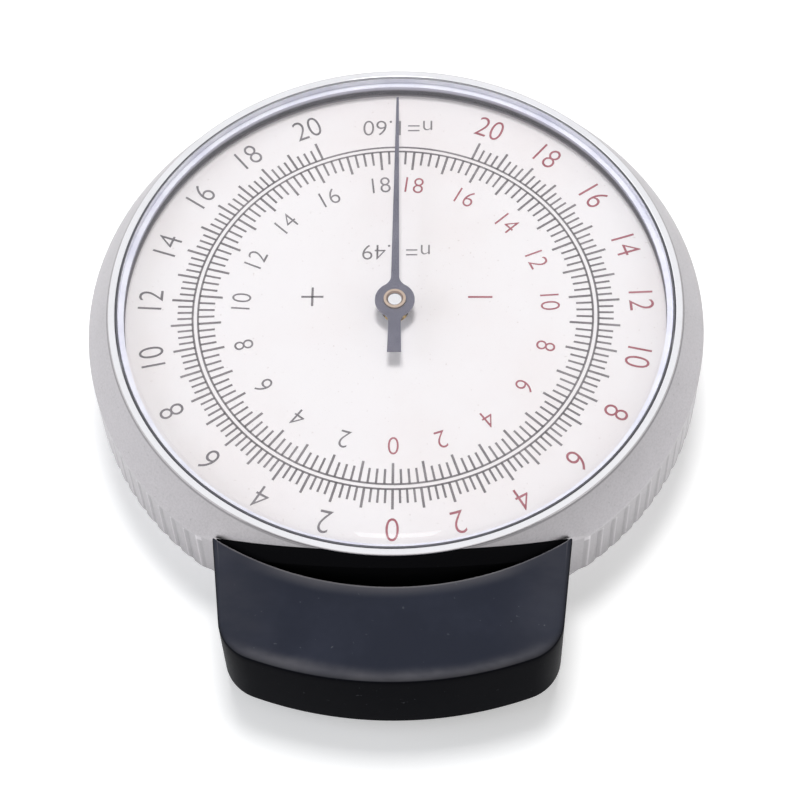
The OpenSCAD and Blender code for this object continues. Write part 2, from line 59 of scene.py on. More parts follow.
BLACK: Colour = (0.0, 0.0, 0.0)
WHITE: Colour = (1.0, 1.0, 1.0)
EVEN: Point3 = (1.0, 1.0, 1.0)


class Body(Enum):
    """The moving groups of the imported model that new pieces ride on."""

    CASE = "case"
    HAND = "hand"
    CAP = "cap"


class Side(Enum):
    """The two halves of the dioptre scale, with the sense in which they run."""

    PLUS = 1
    MINUS = -1


# Shader maths


class Sock:
    """A node socket that takes part in plain expressions."""

    def __init__(self, graph: "Graph", socket: bpy.types.NodeSocket) -> None:
        """Keeps the socket and the graph that it belongs to."""
        self.graph = graph
        self.socket = socket

    def _math(self, operation: str, first: Any, second: Any) -> "Sock":
        """Adds one Math node on two values or sockets, and gives its result."""
        node = self.graph.node("ShaderNodeMath", {"operation": operation}, {0: first, 1: second})
        return Sock(self.graph, node.outputs[0])

    def __add__(self, other: Any) -> "Sock":
        """self + other."""
        return self._math("ADD", self, other)

    def __radd__(self, other: Any) -> "Sock":
        """other + self."""
        return self._math("ADD", other, self)

    def __sub__(self, other: Any) -> "Sock":
        """self - other."""
        return self._math("SUBTRACT", self, other)

    def __rsub__(self, other: Any) -> "Sock":
        """other - self."""
        return self._math("SUBTRACT", other, self)

    def __mul__(self, other: Any) -> "Sock":
        """self * other."""
        return self._math("MULTIPLY", self, other)

    def __rmul__(self, other: Any) -> "Sock":
        """other * self."""
        return self._math("MULTIPLY", other, self)

    def __pow__(self, other: Any) -> "Sock":
        """self to the power of other."""
        return self._math("POWER", self, other)

    def __rpow__(self, other: Any) -> "Sock":
        """other to the power of self."""
        return self._math("POWER", other, self)

    def at_least(self, other: Any) -> "Sock":
        """The larger of the two."""
        return self._math("MAXIMUM", self, other)

    def swing(self, width: float) -> "Sock":
        """A value from 0 to 1 as one that swings about 0, over that width."""
        return (self - 0.5) * width


class Graph:
    """The nodes of a material or of the world."""

    def __init__(self, tree: bpy.types.NodeTree) -> None:
        """Empties the tree and keeps it."""
        self.tree = tree
        self.tree.nodes.clear()

    def node(
        self,
        kind: str,
        settings: dict[str, Any] | None = None,
        inputs: dict[Any, Any] | None = None,
    ) -> bpy.types.Node:
        """Adds a node.

        Args:
            kind: the node's type.
            settings: its own settings, set first.
            inputs: values or links of its sockets, by name or number.

        Returns:
            The new node.
        """
        made = self.tree.nodes.new(kind)
        for key, value in (settings or {}).items():
            setattr(made, key, value)
        for key, value in (inputs or {}).items():
            self.feed(made.inputs[key], value)
        return made

    def feed(self, socket: bpy.types.NodeSocket, value: Any) -> None:
        """Links or sets one socket.

        Args:
            socket: the socket.
            value: the socket that feeds it, or its number, vector or colour.
        """
        source = value.socket if isinstance(value, Sock) else value
        if isinstance(source, bpy.types.NodeSocket):
            self.tree.links.new(source, socket)
        elif socket.type == "RGBA":
            socket.default_value = (*value, 1.0)
        else:
            socket.default_value = value

    def place(self, space: str = "Object") -> tuple[Sock, Sock, Sock]:
        """The surface point in the object's own metres, its normal, or the world's direction.

        Args:
            space: which output of the coordinate node is read.

        Returns:
            Its x, y and z.
        """
        where = self.node("ShaderNodeTexCoord").outputs[space]
        parts = self.node("ShaderNodeSeparateXYZ", None, {0: where})
        return tuple(Sock(self, parts.outputs[i]) for i in range(3))

    def vector(self, x: Any, y: Any, z: Any) -> bpy.types.NodeSocket:
        """A vector from three values or sockets."""
        return self.node("ShaderNodeCombineXYZ", None, {0: x, 1: y, 2: z}).outputs[0]

    def mix(self, amount: Any, low: Any, high: Any) -> Sock:
        """Mixes two colours or sockets, by the share of the second."""
        made = self.node("ShaderNodeMix", {"data_type": "RGBA"}, {0: amount, 6: low, 7: high})
        return Sock(self, made.outputs[2])

    def ramp(self, value: Any, span: Span) -> Sock:
        """A smooth step.

        Args:
            value: the value or socket that is read.
            span: where the step starts and where it ends.

        Returns:
            0 below the span, 1 above it.
        """
        settings = {"interpolation_type": "SMOOTHSTEP"}
        made = self.node("ShaderNodeMapRange", settings, {0: value, 1: span[0], 2: span[1]})
        return Sock(self, made.outputs[0])

    def seen(self, *rays: str) -> Sock:
        """1 for the kinds of ray named, such as Camera or Glossy.

        Args:
            rays: kinds of ray.

        Returns:
            The mask.
        """
        path = self.node("ShaderNodeLightPath")
        masks = [Sock(self, path.outputs[f"Is {ray} Ray"]) for ray in rays]
        total = masks[0]
        for mask in masks[1:]:
            total = total.at_least(mask)
        return total


@dataclass(frozen=True)
class Noise:
    """A noise pattern: cycles per unit, octaves, the finer ones' weight and its stretch."""

    scale: float
    detail: float = 2.0
    roughness: float = 0.5
    stretch: Point3 = EVEN


class Surface(Graph):
    """One material's nodes, ending in a principled shader, with the surface point at hand."""

    def __init__(self, name: str) -> None:
        """Starts an empty material.

        Args:
            name: the material's name.
        """
        self.material = bpy.data.materials.new(name)
        self.material.use_nodes = True
        super().__init__(self.material.node_tree)
        self.shader = self.node("ShaderNodeBsdfPrincipled")
        self.node("ShaderNodeOutputMaterial", None, {"Surface": self.shader.outputs["BSDF"]})
        self.x, self.y, self.z = self.place()
        self.here = self.vector(self.x, self.y, self.z)

    def off_axis(self) -> Sock:
        """Distance of the surface point from the dial axis, in millimetres."""
        return (self.x * self.x + self.y * self.y) ** 0.5 * PER_M

    def noise(self, pattern: Noise, where: bpy.types.NodeSocket | None = None) -> Sock:
        """Smooth noise from 0 to 1.

        Args:
            pattern: its scale, octaves and stretch.
            where: where it is read, the surface point if it is left out.

        Returns:
            The noise value.
        """
        spot = self.here if where is None else where
        if pattern.stretch != EVEN:
            values = {0: spot, 1: pattern.stretch}
            spot = self.node("ShaderNodeVectorMath", {"operation": "MULTIPLY"}, values).outputs[0]
        values = {"Vector": spot, "Scale": pattern.scale, "Detail": pattern.detail,
                  "Roughness": pattern.roughness}
        return Sock(self, self.node("ShaderNodeTexNoise", None, values).outputs["Fac"])

    def bump(self, height: Any, depth_mm: float) -> None:
        """Feeds a relief to the shader's normal.

        Args:
            height: its height, from 0 to about 1.
            depth_mm: depth of a height of 1, in millimetres.
        """
        values = {"Height": height, "Distance": depth_mm * MM, "Strength": 1.0}
        made = self.node("ShaderNodeBump", None, values)
        self.feed(self.shader.inputs["Normal"], made.outputs[0])

    def set(self, **values: Any) -> None:
        """Sets or links the shader's sockets, with _ for a blank in the name."""
        for key, value in values.items():
            self.feed(self.shader.inputs[key.replace("_", " ")], value)


def linear(red: float, green: float, blue: float) -> Colour:
    """A colour seen on a screen, 0 to 255, as linear light."""
    shares = [value / 255 for value in (red, green, blue)]
    return tuple(s / 12.92 if s <= 0.04045 else ((s + 0.055) / 1.055) ** 2.4 for s in shares)


def tone(colour: Colour, share: float) -> Colour:
    """A darker or lighter tone of a colour."""
    return tuple(min(1.0, share * channel) for channel in colour)


# Finishes


@dataclass(frozen=True)
class Finish:
    """A named finish, whose material is shared by all the pieces that have it."""

    name: str
    colour: Colour

    @cache
    def make(self) -> Material:
        """Builds the material, at the first call only.

        Returns:
            The finished material.
        """
        g = Surface(self.name)
        self.lay(g)
        return g.material

    def lay(self, g: Surface) -> None:
        """Lays the nodes, which each kind of finish does in its own way."""
        raise NotImplementedError(self.name)


@dataclass(frozen=True)
class GripBand:
    """The fluted band of the case, in millimetres: painted darker than the cone, with painted shade
    and highlights in its grooves.
    """

    radius: float
    top: float
    groove_top: float
    seam: float
    fade: float = 0.2
    wall: Span = (0.15, 0.18)
    bed: Span = (0.04, 0.13)
    lip_start: Span = (0.004, 0.02)
    lip_stop: Span = (0.03, 0.06)
    end_rise: Span = (-0.4, -0.2)
    end_depth: Span = (0.01, 0.05)
    seam_rise: Span = (-0.22, -0.12)
    # Shares of painted shade: on the whole band, in the groove beds and along the seam by the
    # bezel.
    dull: float = 0.28
    bed_dull: float = 0.25
    seam_dull: float = 0.7
    # Shares of painted highlight on the grooves' lips and round ends, then the painted shade and
    # highlight tones.
    lip_bright: float = 0.35
    end_bright: float = 0.5
    low_tone: float = 0.45
    high_tone: float = 1.5

    def shade(self, g: Surface, stained_and_shaded: Sock, colour: Colour) -> Sock:
        """Paints shade on the band, its grooves and the top seam, and paints highlights on the
        grooves' lips and ends.

        Args:
            g: the material under way.
            stained_and_shaded: the metal's colour so far.
            colour: the clean metal's colour.

        Returns:
            The new colour.
        """
        height, sunk = g.z * PER_M, self.radius - g.off_axis()
        band = 1.0 - g.ramp(height, (self.top - self.fade, self.top))
        inside = 1.0 - g.ramp(sunk, self.wall)
        bed = g.ramp(sunk, self.bed) * inside
        lip = g.ramp(sunk, self.lip_start) * (1.0 - g.ramp(sunk, self.lip_stop))
        near_end = g.ramp(height - self.groove_top, self.end_rise)
        end = near_end * g.ramp(sunk, self.end_depth) * inside
        seam = g.ramp(height - self.seam, self.seam_rise)
        # Painted shade on the band, in its groove beds and along the seam under the bezel.
        dirt_and_shade = band * (self.dull + self.bed_dull * bed) + seam * self.seam_dull
        # Painted highlights on the grooves' lips and their round ends.
        shine = band * (lip * self.lip_bright + end * self.end_bright)
        dark = g.mix(dirt_and_shade, stained_and_shaded, tone(colour, self.low_tone))
        return g.mix(shine, dark, tone(colour, self.high_tone))


@dataclass(frozen=True)
class TurnedMetal(Finish):
    """Metal with fine lines left by turning about the dial axis."""

    roughness: float
    # The fluted band's painted shade and painted highlights, if the metal has one.
    band: GripBand | None = None
    lines: Noise = Noise(9.0, 3.0, 0.6)
    cloud: Noise = Noise(160.0, 3.0, 0.6)
    grit: Noise = Noise(5200.0, 2.0, 0.7)
    speck: Noise = Noise(2600.0, 1.0)
    stain_span: Span = (0.45, 0.75)
    grit_span: Span = (0.35, 0.7)
    speck_span: Span = (0.70, 0.78)
    stain: float = 0.12
    grime: float = 0.35
    specks: float = 0.2
    stain_tone: float = 0.72
    speck_tone: float = 0.35
    lines_rough: float = 0.16
    cloud_rough: float = 0.10
    grit_relief: float = 1.5
    depth_mm: float = 0.0016

    def lay(self, g: Surface) -> None:
        """Lays the nodes.

        Args:
            g: the material under way.
        """
        across = g.vector(g.off_axis(), g.z * PER_M, 0.0)
        lines, cloud, grit = g.noise(self.lines, across), g.noise(self.cloud), g.noise(self.grit)
        speck = g.ramp(g.noise(self.speck), self.speck_span)
        stain, grime = g.ramp(cloud, self.stain_span), g.ramp(grit, self.grit_span)
        dirt_and_shade = stain * self.stain + grime * self.grime
        stained_and_shaded = g.mix(dirt_and_shade, self.colour, tone(self.colour, self.stain_tone))
        # The fluted band adds painted shade and painted highlights.
        if self.band:
            stained_and_shaded = self.band.shade(g, stained_and_shaded, self.colour)
        uneven = lines.swing(self.lines_rough) + cloud.swing(self.cloud_rough)
        g.set(
            Base_Color=g.mix(speck * self.specks, stained_and_shaded, tone(self.colour, self.speck_tone)),
            Metallic=1.0,
            Roughness=self.roughness + uneven,
        )
        g.bump(lines + grit * self.grit_relief, self.depth_mm)


@dataclass(frozen=True)
class PolishedMetal(Finish):
    """Bright metal with faint wiping marks."""

    roughness: float
    cloud: Noise = Noise(220.0, 4.0, 0.6)
    fine: Noise = Noise(3200.0, stretch=(1.0, 3.0, 1.0))
    stain_span: Span = (0.4, 0.8)
    haze_span: Span = (0.35, 0.8)
    stain: float = 0.4
    stain_tone: float = 0.85
    haze_rough: float = 0.07
    fine_rough: float = 0.04
    depth_mm: float = 0.0004

    def lay(self, g: Surface) -> None:
        """Lays the nodes.

        Args:
            g: the material under way.
        """
        cloud, fine = g.noise(self.cloud), g.noise(self.fine)
        stain, haze = g.ramp(cloud, self.stain_span), g.ramp(cloud, self.haze_span)
        g.set(
            Base_Color=g.mix(stain * self.stain, self.colour, tone(self.colour, self.stain_tone)),
            Metallic=1.0,
            Roughness=self.roughness + haze * self.haze_rough + fine.swing(self.fine_rough),
        )
        g.bump(fine, self.depth_mm)


@dataclass(frozen=True)
class SkirtMetal(Finish):
    """Satin metal of the bezel's inner wall, with painted reflections: a dark line a little above
    the dial, a paler foot.
    """

    # Painted reflections on the wall: the dark line stands for the dial's shaded edge, the foot for
    # the white dial.
    line: Colour
    foot: Colour
    dial_mm: float = 10.5
    roughness: float = 0.5
    turned: Noise = Noise(900.0, 3.0, 0.6, (1.0, 1.0, 8.0))
    cloud: Noise = Noise(180.0, 3.0, 0.6)
    line_sway: float = 0.12
    line_start: Span = (0.08, 0.36)
    line_stop: Span = (0.78, 1.2)
    turned_span: Span = (0.4, 0.8)
    turned_share: float = 0.25
    turned_tone: float = 0.7
    turned_rough: float = 0.12
    depth_mm: float = 0.001

    def lay(self, g: Surface) -> None:
        """Lays the nodes.

        Args:
            g: the material under way.
        """
        turned = g.noise(self.turned)
        # Painted reflection by height: the paler foot, the dark line above it, then the plain
        # satin.
        rise = g.z * PER_M - self.dial_mm + g.noise(self.cloud).swing(self.line_sway)
        low = g.mix(g.ramp(rise, self.line_start), self.foot, self.line)
        base = g.mix(g.ramp(rise, self.line_stop), low, self.colour)
        marks = g.ramp(turned, self.turned_span) * self.turned_share
        g.set(
            Base_Color=g.mix(marks, base, tone(self.colour, self.turned_tone)),
            Metallic=1.0,
            Roughness=self.roughness + turned.swing(self.turned_rough),
        )
        g.bump(turned, self.depth_mm)


@dataclass(frozen=True)
class DialPaint(Finish):
    """Matte off-white dial paint with a little age in it."""

    aged: Colour
    spot: Colour = (0.45, 0.36, 0.32)
    roughness: float = 0.42
    cloud: Noise = Noise(70.0, 4.0, 0.55)
    grain: Noise = Noise(9000.0)
    speck: Noise = Noise(3600.0, 0.0)
    aged_span: Span = (0.35, 0.8)
    speck_span: Span = (0.80, 0.84)
    specks: float = 0.25
    cloud_rough: float = 0.12
    depth_mm: float = 0.0012

    def lay(self, g: Surface) -> None:
        """Lays the nodes.

        Args:
            g: the material under way.
        """
        cloud = g.noise(self.cloud)
        speck = g.ramp(g.noise(self.speck), self.speck_span)
        base = g.mix(g.ramp(cloud, self.aged_span), self.colour, self.aged)
        g.set(
            Base_Color=g.mix(speck * self.specks, base, self.spot),
            Roughness=self.roughness + cloud.swing(self.cloud_rough),
        )
        g.bump(g.noise(self.grain), self.depth_mm)


@dataclass(frozen=True)
class MattCoat(Finish):
    """A thin matt coat in two tones that lies a little uneven, such as printed ink."""

    other: Colour
    roughness: float = 0.5
    cloud: Noise = Noise(420.0, 3.0, 0.6)
    grain: Noise = Noise(7000.0)
    mottle: Span = (0.35, 0.75)
    grain_rough: float = 0.2
    depth_mm: float = 0.0008

    def lay(self, g: Surface) -> None:
        """Lays the nodes.

        Args:
            g: the material under way.
        """
        cloud, grain = g.noise(self.cloud), g.noise(self.grain)
        g.set(
            Base_Color=g.mix(g.ramp(cloud, self.mottle), self.colour, self.other),
            Roughness=self.roughness + grain.swing(self.grain_rough),
        )
        g.bump(grain, self.depth_mm)


@dataclass(frozen=True)
class FrostedEdge(MattCoat):
    """The ground edge of the crystal, a little uneven, whose pale lavender is partly painted
    reflection.
    """

    roughness: float = 0.45
    cloud: Noise = Noise(260.0, 3.0, 0.6)
    grain: Noise = Noise(6200.0)
    depth_mm: float = 0.0015


@dataclass(frozen=True)
class Rubbing:
    """Painted highlights, partly wear, on the cap, in millimetres: at its mouth, on its lip and
    along its front edge.
    """

    share: float
    mouth_r: float
    front_r: float
    front_y: float
    # Colour of the painted highlight and wear.
    colour: Colour = (0.15, 0.145, 0.155)
    streaks: Noise = Noise(180.0, 3.0, 0.6, (1.0, 2.0, 1.0))
    streak_span: Span = (0.35, 0.7)
    mouth_backward: Span = (0.1, 0.35)
    mouth_upward: Span = (0.3, 0.5)
    mouth_cloud: Span = (0.2, 0.5)
    top_upward: Span = (0.4, 0.6)
    sides_span: Span = (8.0, 14.0)
    sides_share: float = 0.08
    sides_fade: float = 0.7
    front_span: Span = (-1.7, -0.4)
    front_sway: float = 1.2
    front_share: float = 0.4
    front_streak: float = 0.3
    lip_span: Span = (0.1, 1.4)
    lip_sway: float = 0.8
    lip_share: float = 0.6
    lip_fade: float = 0.8

    def wear(self, g: Surface, base: Sock, cloud: Sock, backward: Sock, upward: Sock) -> Sock:
        """Lightens the mouth, the lip, the front edge and the sides with painted highlights, partly
        wear.

        Args:
            g: the material under way.
            base: the plastic's colour so far.
            cloud: noise that keeps the edges of the wear uneven.
            backward: y of the surface normal.
            upward: z of the surface normal.

        Returns:
            The new colour.
        """
        across, along = g.x * PER_M, g.y * PER_M - self.front_y
        sides = g.ramp((across * across) ** 0.5, self.sides_span)
        streak = g.ramp(g.noise(self.streaks), self.streak_span)
        reach = (across * across + along * along) ** 0.5 + cloud.swing(self.front_sway)
        # Painted highlight, partly wear, along the rounded front edge and on the lip by the mouth.
        front = g.ramp(reach - self.front_r, self.front_span) ** 2
        from_mouth = g.off_axis() - self.mouth_r + cloud.swing(self.lip_sway)
        lip = (1.0 - g.ramp(from_mouth, self.lip_span)) * (1.0 - self.lip_fade * sides)
        middle = front * (self.front_share + self.front_streak * streak) + lip * self.lip_share
        top_highlight_and_wear = middle * (1.0 - self.sides_fade * sides) + sides * self.sides_share * (1.0 + streak)
        # Painted highlight, partly wear, on the mouth's rounded edge.
        mouth = g.ramp(backward, self.mouth_backward) * g.ramp(upward, self.mouth_upward)
        highlight_and_wear = mouth * g.ramp(cloud, self.mouth_cloud) + top_highlight_and_wear * g.ramp(upward, self.top_upward)
        return g.mix(highlight_and_wear * self.share, base, self.colour)


@dataclass(frozen=True)
class MouldedPlastic(Finish):
    """Black moulded plastic with a fine grain, and a paler tone on the faces that look up, which is
    painted top light.
    """

    # Paler colour for the faces that look up: painted top light.
    film: Colour
    roughness: float
    shine: float = 0.5
    dust: float = 0.35
    rubbing: Rubbing | None = None
    dust_colour: Colour = (0.20, 0.21, 0.23)
    grain: Noise = Noise(5200.0, 3.0, 0.6)
    cloud: Noise = Noise(130.0, 4.0, 0.6)
    specks: Noise = Noise(2400.0, 1.0)
    speck_span: Span = (0.745, 0.80)
    dust_span: Span = (0.35, 0.7)
    film_span: Span = (0.4, 0.75)
    film_upward: Span = (0.2, 0.95)
    film_tone: float = 1.25
    cloud_rough: float = 0.16
    grain_rough: float = 0.12
    depth_mm: float = 0.0025

    def lay(self, g: Surface) -> None:
        """Lays the nodes.

        Args:
            g: the material under way.
        """
        grain, cloud = g.noise(self.grain), g.noise(self.cloud)
        dust = g.ramp(g.noise(self.specks), self.speck_span) * g.ramp(cloud, self.dust_span)
        _, backward, upward = g.place("Normal")
        # Painted top light: faces that look up take the paler colour, a little uneven.
        film = g.mix(g.ramp(cloud, self.film_span), self.film, tone(self.film, self.film_tone))
        base = g.mix(g.ramp(upward, self.film_upward), self.colour, film)
        # Painted highlights, partly wear, on the cap.
        if self.rubbing:
            base = self.rubbing.wear(g, base, cloud, backward, upward)
        uneven = cloud.swing(self.cloud_rough) + grain.swing(self.grain_rough)
        g.set(
            Base_Color=g.mix(dust * self.dust, base, self.dust_colour),
            Specular_IOR_Level=self.shine,
            Roughness=self.roughness + uneven,
        )
        g.bump(grain, self.depth_mm)


@dataclass(frozen=True)
class BluedSteel(Finish):
    """Heat-coloured steel, a slate blue that shifts a little along the piece."""

    shift: Colour
    roughness: float = 0.42
    metallic: float = 0.55
    cloud: Noise = Noise(240.0, 3.0, 0.6)
    fine: Noise = Noise(5200.0, stretch=(4.0, 1.0, 1.0))
    shift_span: Span = (0.3, 0.75)
    fine_rough: float = 0.18
    depth_mm: float = 0.001

    def lay(self, g: Surface) -> None:
        """Lays the nodes.

        Args:
            g: the material under way.
        """
        cloud, fine = g.noise(self.cloud), g.noise(self.fine)
        g.set(
            Base_Color=g.mix(g.ramp(cloud, self.shift_span), self.colour, self.shift),
            Metallic=self.metallic,
            Roughness=self.roughness + fine.swing(self.fine_rough),
        )
        g.bump(fine, self.depth_mm)


@dataclass(frozen=True)
class ClearCrystal(Finish):
    """Clear acrylic: mostly see-through, with a sharp reflection that grows at a slant."""

    head_on: float = 0.04
    grazing: float = 0.6
    growth: float = 5.0
    haze: Noise = Noise(300.0, 4.0, 0.6)
    haze_span: Span = (0.5, 0.85)
    roughness: float = 0.015
    haze_rough: float = 0.02

    def lay(self, g: Surface) -> None:
        """Lays the nodes.

        Args:
            g: the material under way.
        """
        haze = g.ramp(g.noise(self.haze), self.haze_span)
        slant = Sock(g, g.node("ShaderNodeLayerWeight", None, {"Blend": 0.5}).outputs["Facing"])
        g.set(
            Base_Color=self.colour,
            Metallic=1.0,
            Roughness=self.roughness + haze * self.haze_rough,
            Alpha=self.head_on + (self.grazing - self.head_on) * slant ** self.growth,
        )


@dataclass(frozen=True)
class FloorPaper(Finish):
    """Pale paper: white to the camera and in reflections, dimmer in the light it throws back."""

    bounce: Colour
    lift: Colour
    cloud: Noise = Noise(4.0)
    cloud_share: float = 0.1
    cloud_tone: float = 0.97
    roughness: float = 0.9

    def lay(self, g: Surface) -> None:
        """Lays the nodes.

        Args:
            g: the material under way.
        """
        shown = g.seen("Camera", "Glossy", "Transmission")
        cloud = g.noise(self.cloud) * self.cloud_share
        paper = g.mix(cloud, self.colour, tone(self.colour, self.cloud_tone))
        g.set(
            Base_Color=g.mix(shown, self.bounce, paper),
            Roughness=self.roughness,
            Specular_IOR_Level=0.0,
            Emission_Color=g.mix(shown, BLACK, self.lift),
            Emission_Strength=1.0,
        )


# Mesh making


def new_piece(name: str, mesh: Mesh, material: Material) -> Piece:
    """Puts a mesh into the scene as a piece.

    Args:
        name: the piece's name.
        mesh: its mesh, in metres and in the frame.
        material: its finish.

    Returns:
        The new object.
    """
    piece = bpy.data.objects.new(name, mesh)
    bpy.context.scene.collection.objects.link(piece)
    mesh.materials.clear()
    mesh.materials.append(material)
    return piece


def smooth(mesh: Mesh, angle: float) -> None:
    """Shades a mesh smooth.

    Args:
        mesh: the mesh.
        angle: edges sharper than this stay sharp, in degrees.
    """
    for face in mesh.polygons:
        face.use_smooth = True
    mesh.set_sharp_from_angle(angle=math.radians(angle))


def paint(
    piece: Piece,
    finishes: Sequence[Finish],
    choose: Callable[[float, float], Finish],
) -> None:
    """Gives each face of a piece one of several finishes.

    Args:
        piece: the piece.
        finishes: the finishes, in the order of its material slots.
        choose: a face's finish, by the radius and height of its middle in millimetres.
    """
    piece.data.materials.clear()
    for finish in finishes:
        piece.data.materials.append(finish.make())
    for face in piece.data.polygons:
        finish = choose(face.center.xy.length * PER_M, face.center.z * PER_M)
        face.material_index = finishes.index(finish)


def mesh_from(
    name: str,
    points: Iterable[Point3],
    faces: Iterable[Sequence[int]],
    outward: bool = True,
) -> Mesh:
    """A mesh from points in millimetres.

    Args:
        name: the mesh's name.
        points: its corners, in millimetres.
        faces: its faces, as lists of corner numbers.
        outward: whether its faces are turned outwards.

    Returns:
        The mesh, in metres.
    """
    mesh = bpy.data.meshes.new(name)
    mesh.from_pydata([tuple(c * MM for c in p) for p in points], [], list(faces))
    if outward:
        work = bmesh.new()
        work.from_mesh(mesh)
        bmesh.ops.recalc_face_normals(work, faces=work.faces)
        work.to_mesh(mesh)
        work.free()
    return mesh


def lathe(
    name: str,
    profile: Sequence[Point2],
    columns: int,
    inward: Callable[[int, int], float] | None = None,
    turn: Callable[[int], float] | None = None,
) -> Mesh:
    """Turns a closed profile about the dial axis.

    Args:
        name: the mesh's name.
        profile: radius and height of each point, in millimetres, as a closed loop.
        columns: steps round the axis.
        inward: how far a point is drawn in, by column and row.
        turn: angle of a column in degrees, even steps where it is left out.

    Returns:
        The closed mesh.
    """
    rows = len(profile)
    points: list[Point3] = []
    for column in range(columns):
        angle = math.radians(turn(column) if turn else 360.0 * column / columns)
        for row, (radius, height) in enumerate(profile):
            r = radius - (inward(column, row) if inward else 0.0)
            points.append((r * math.cos(angle), r * math.sin(angle), height))
    faces = []
    for column in range(columns):
        here, after = column * rows, (column + 1) % columns * rows
        for row in range(rows):
            up = (row + 1) % rows
            faces.append((here + row, after + row, after + up, here + up))
    return mesh_from(name, points, faces)


def loft(name: str, rings: Sequence[Sequence[Point3]]) -> Mesh:
    """A closed mesh through rings of points, with flat ends.

    Args:
        name: the mesh's name.
        rings: rings of equally many points, in millimetres.

    Returns:
        The closed mesh.
    """
    count, last = len(rings[0]), len(rings) - 1
    faces: list[Sequence[int]] = [
        tuple(range(count)),
        tuple(range(last * count, (last + 1) * count)),
    ]
    for base in range(0, last * count, count):
        for i in range(count):
            j = (i + 1) % count
            faces.append((base + i, base + j, base + count + j, base + count + i))
    return mesh_from(name, [point for ring in rings for point in ring], faces)


def raised(outline: Iterable[Point2], height: float) -> list[Point3]:
    """An outline at a height."""
    return [(x, y, height) for x, y in outline]


def rounded(
    profile: Sequence[Point2],
    radius: float,
    steps: int,
    skip: Sequence[int],
) -> list[Point2]:
    """Rounds the corners of a closed profile.

    Args:
        profile: its corners, in millimetres.
        radius: the largest fillet.
        steps: points in a fillet.
        skip: numbers of corners that stay sharp.

    Returns:
        The rounded loop.
    """
    most_of_side = 0.45
    loop: list[Point2] = []
    count = len(profile)
    for i, corner in enumerate(profile):
        here = Vector(corner)
        if i in skip:
            loop.append(tuple(here))
            continue
        back = Vector(profile[i - 1]) - here
        ahead = Vector(profile[(i + 1) % count]) - here
        reach = min(radius, most_of_side * back.length, most_of_side * ahead.length)
        start, end = here + back.normalized() * reach, here + ahead.normalized() * reach
        for k in range(steps + 1):
            t = k / steps
            loop.append(tuple((1 - t) ** 2 * start + 2 * t * (1 - t) * here + t * t * end))
    return loop


def solid_cut(piece: Piece, tool: Piece, operation: str) -> None:
    """Cuts a piece with a tool mesh, which is then removed.

    Args:
        piece: the piece to cut.
        tool: the closed mesh that cuts it.
        operation: INTERSECT or DIFFERENCE.
    """
    step = piece.modifiers.new("cut", "BOOLEAN")
    step.operation = operation
    step.solver = "EXACT"
    step.object = tool
    bpy.context.view_layer.update()
    graph = bpy.context.evaluated_depsgraph_get()
    result = bpy.data.meshes.new_from_object(piece.evaluated_get(graph))
    piece.modifiers.clear()
    old = piece.data
    result.name = old.name + "_cut"
    piece.data = result
    bpy.data.meshes.remove(old)
    bpy.data.objects.remove(tool)


def quarter(steps: int) -> list[float]:
    """Angles of a quarter turn in even steps, in radians."""
    return [math.radians(90 * i / steps) for i in range(steps + 1)]


def arc(centre: Point2, radius: float, start: float, end: float, steps: int) -> list[Point2]:
    """Points along an arc, angles in degrees."""
    turns = [math.radians(start + (end - start) * i / steps) for i in range(steps + 1)]
    return [(centre[0] + radius * math.cos(t), centre[1] + radius * math.sin(t)) for t in turns]


def settle(piece: Piece, body: Body, slot: str, *nodes: str) -> None:
    """Hangs a piece on its body and hides the CAD nodes that it stands for.

    Args:
        piece: the piece.
        body: the body it moves with.
        slot: the record's material slot; not used.
        nodes: CAD nodes that it replaces.
    """
    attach(piece, body.value)
    if nodes:
        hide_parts(*nodes)
    LOG.info("%s rides on %s", piece.name, body.value)


def dress(finish: Finish, *nodes: str) -> None:
    """Gives CAD nodes a finish.

    Args:
        finish: the finish.
        nodes: names of the nodes.
    """
    for name in nodes:
        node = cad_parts[name]
        node.data.materials.clear()
        node.data.materials.append(finish.make())
        for face in node.data.polygons:
            face.material_index = 0
        LOG.info("%s is dressed in %s", name, finish.name)


# Sub-assemblies


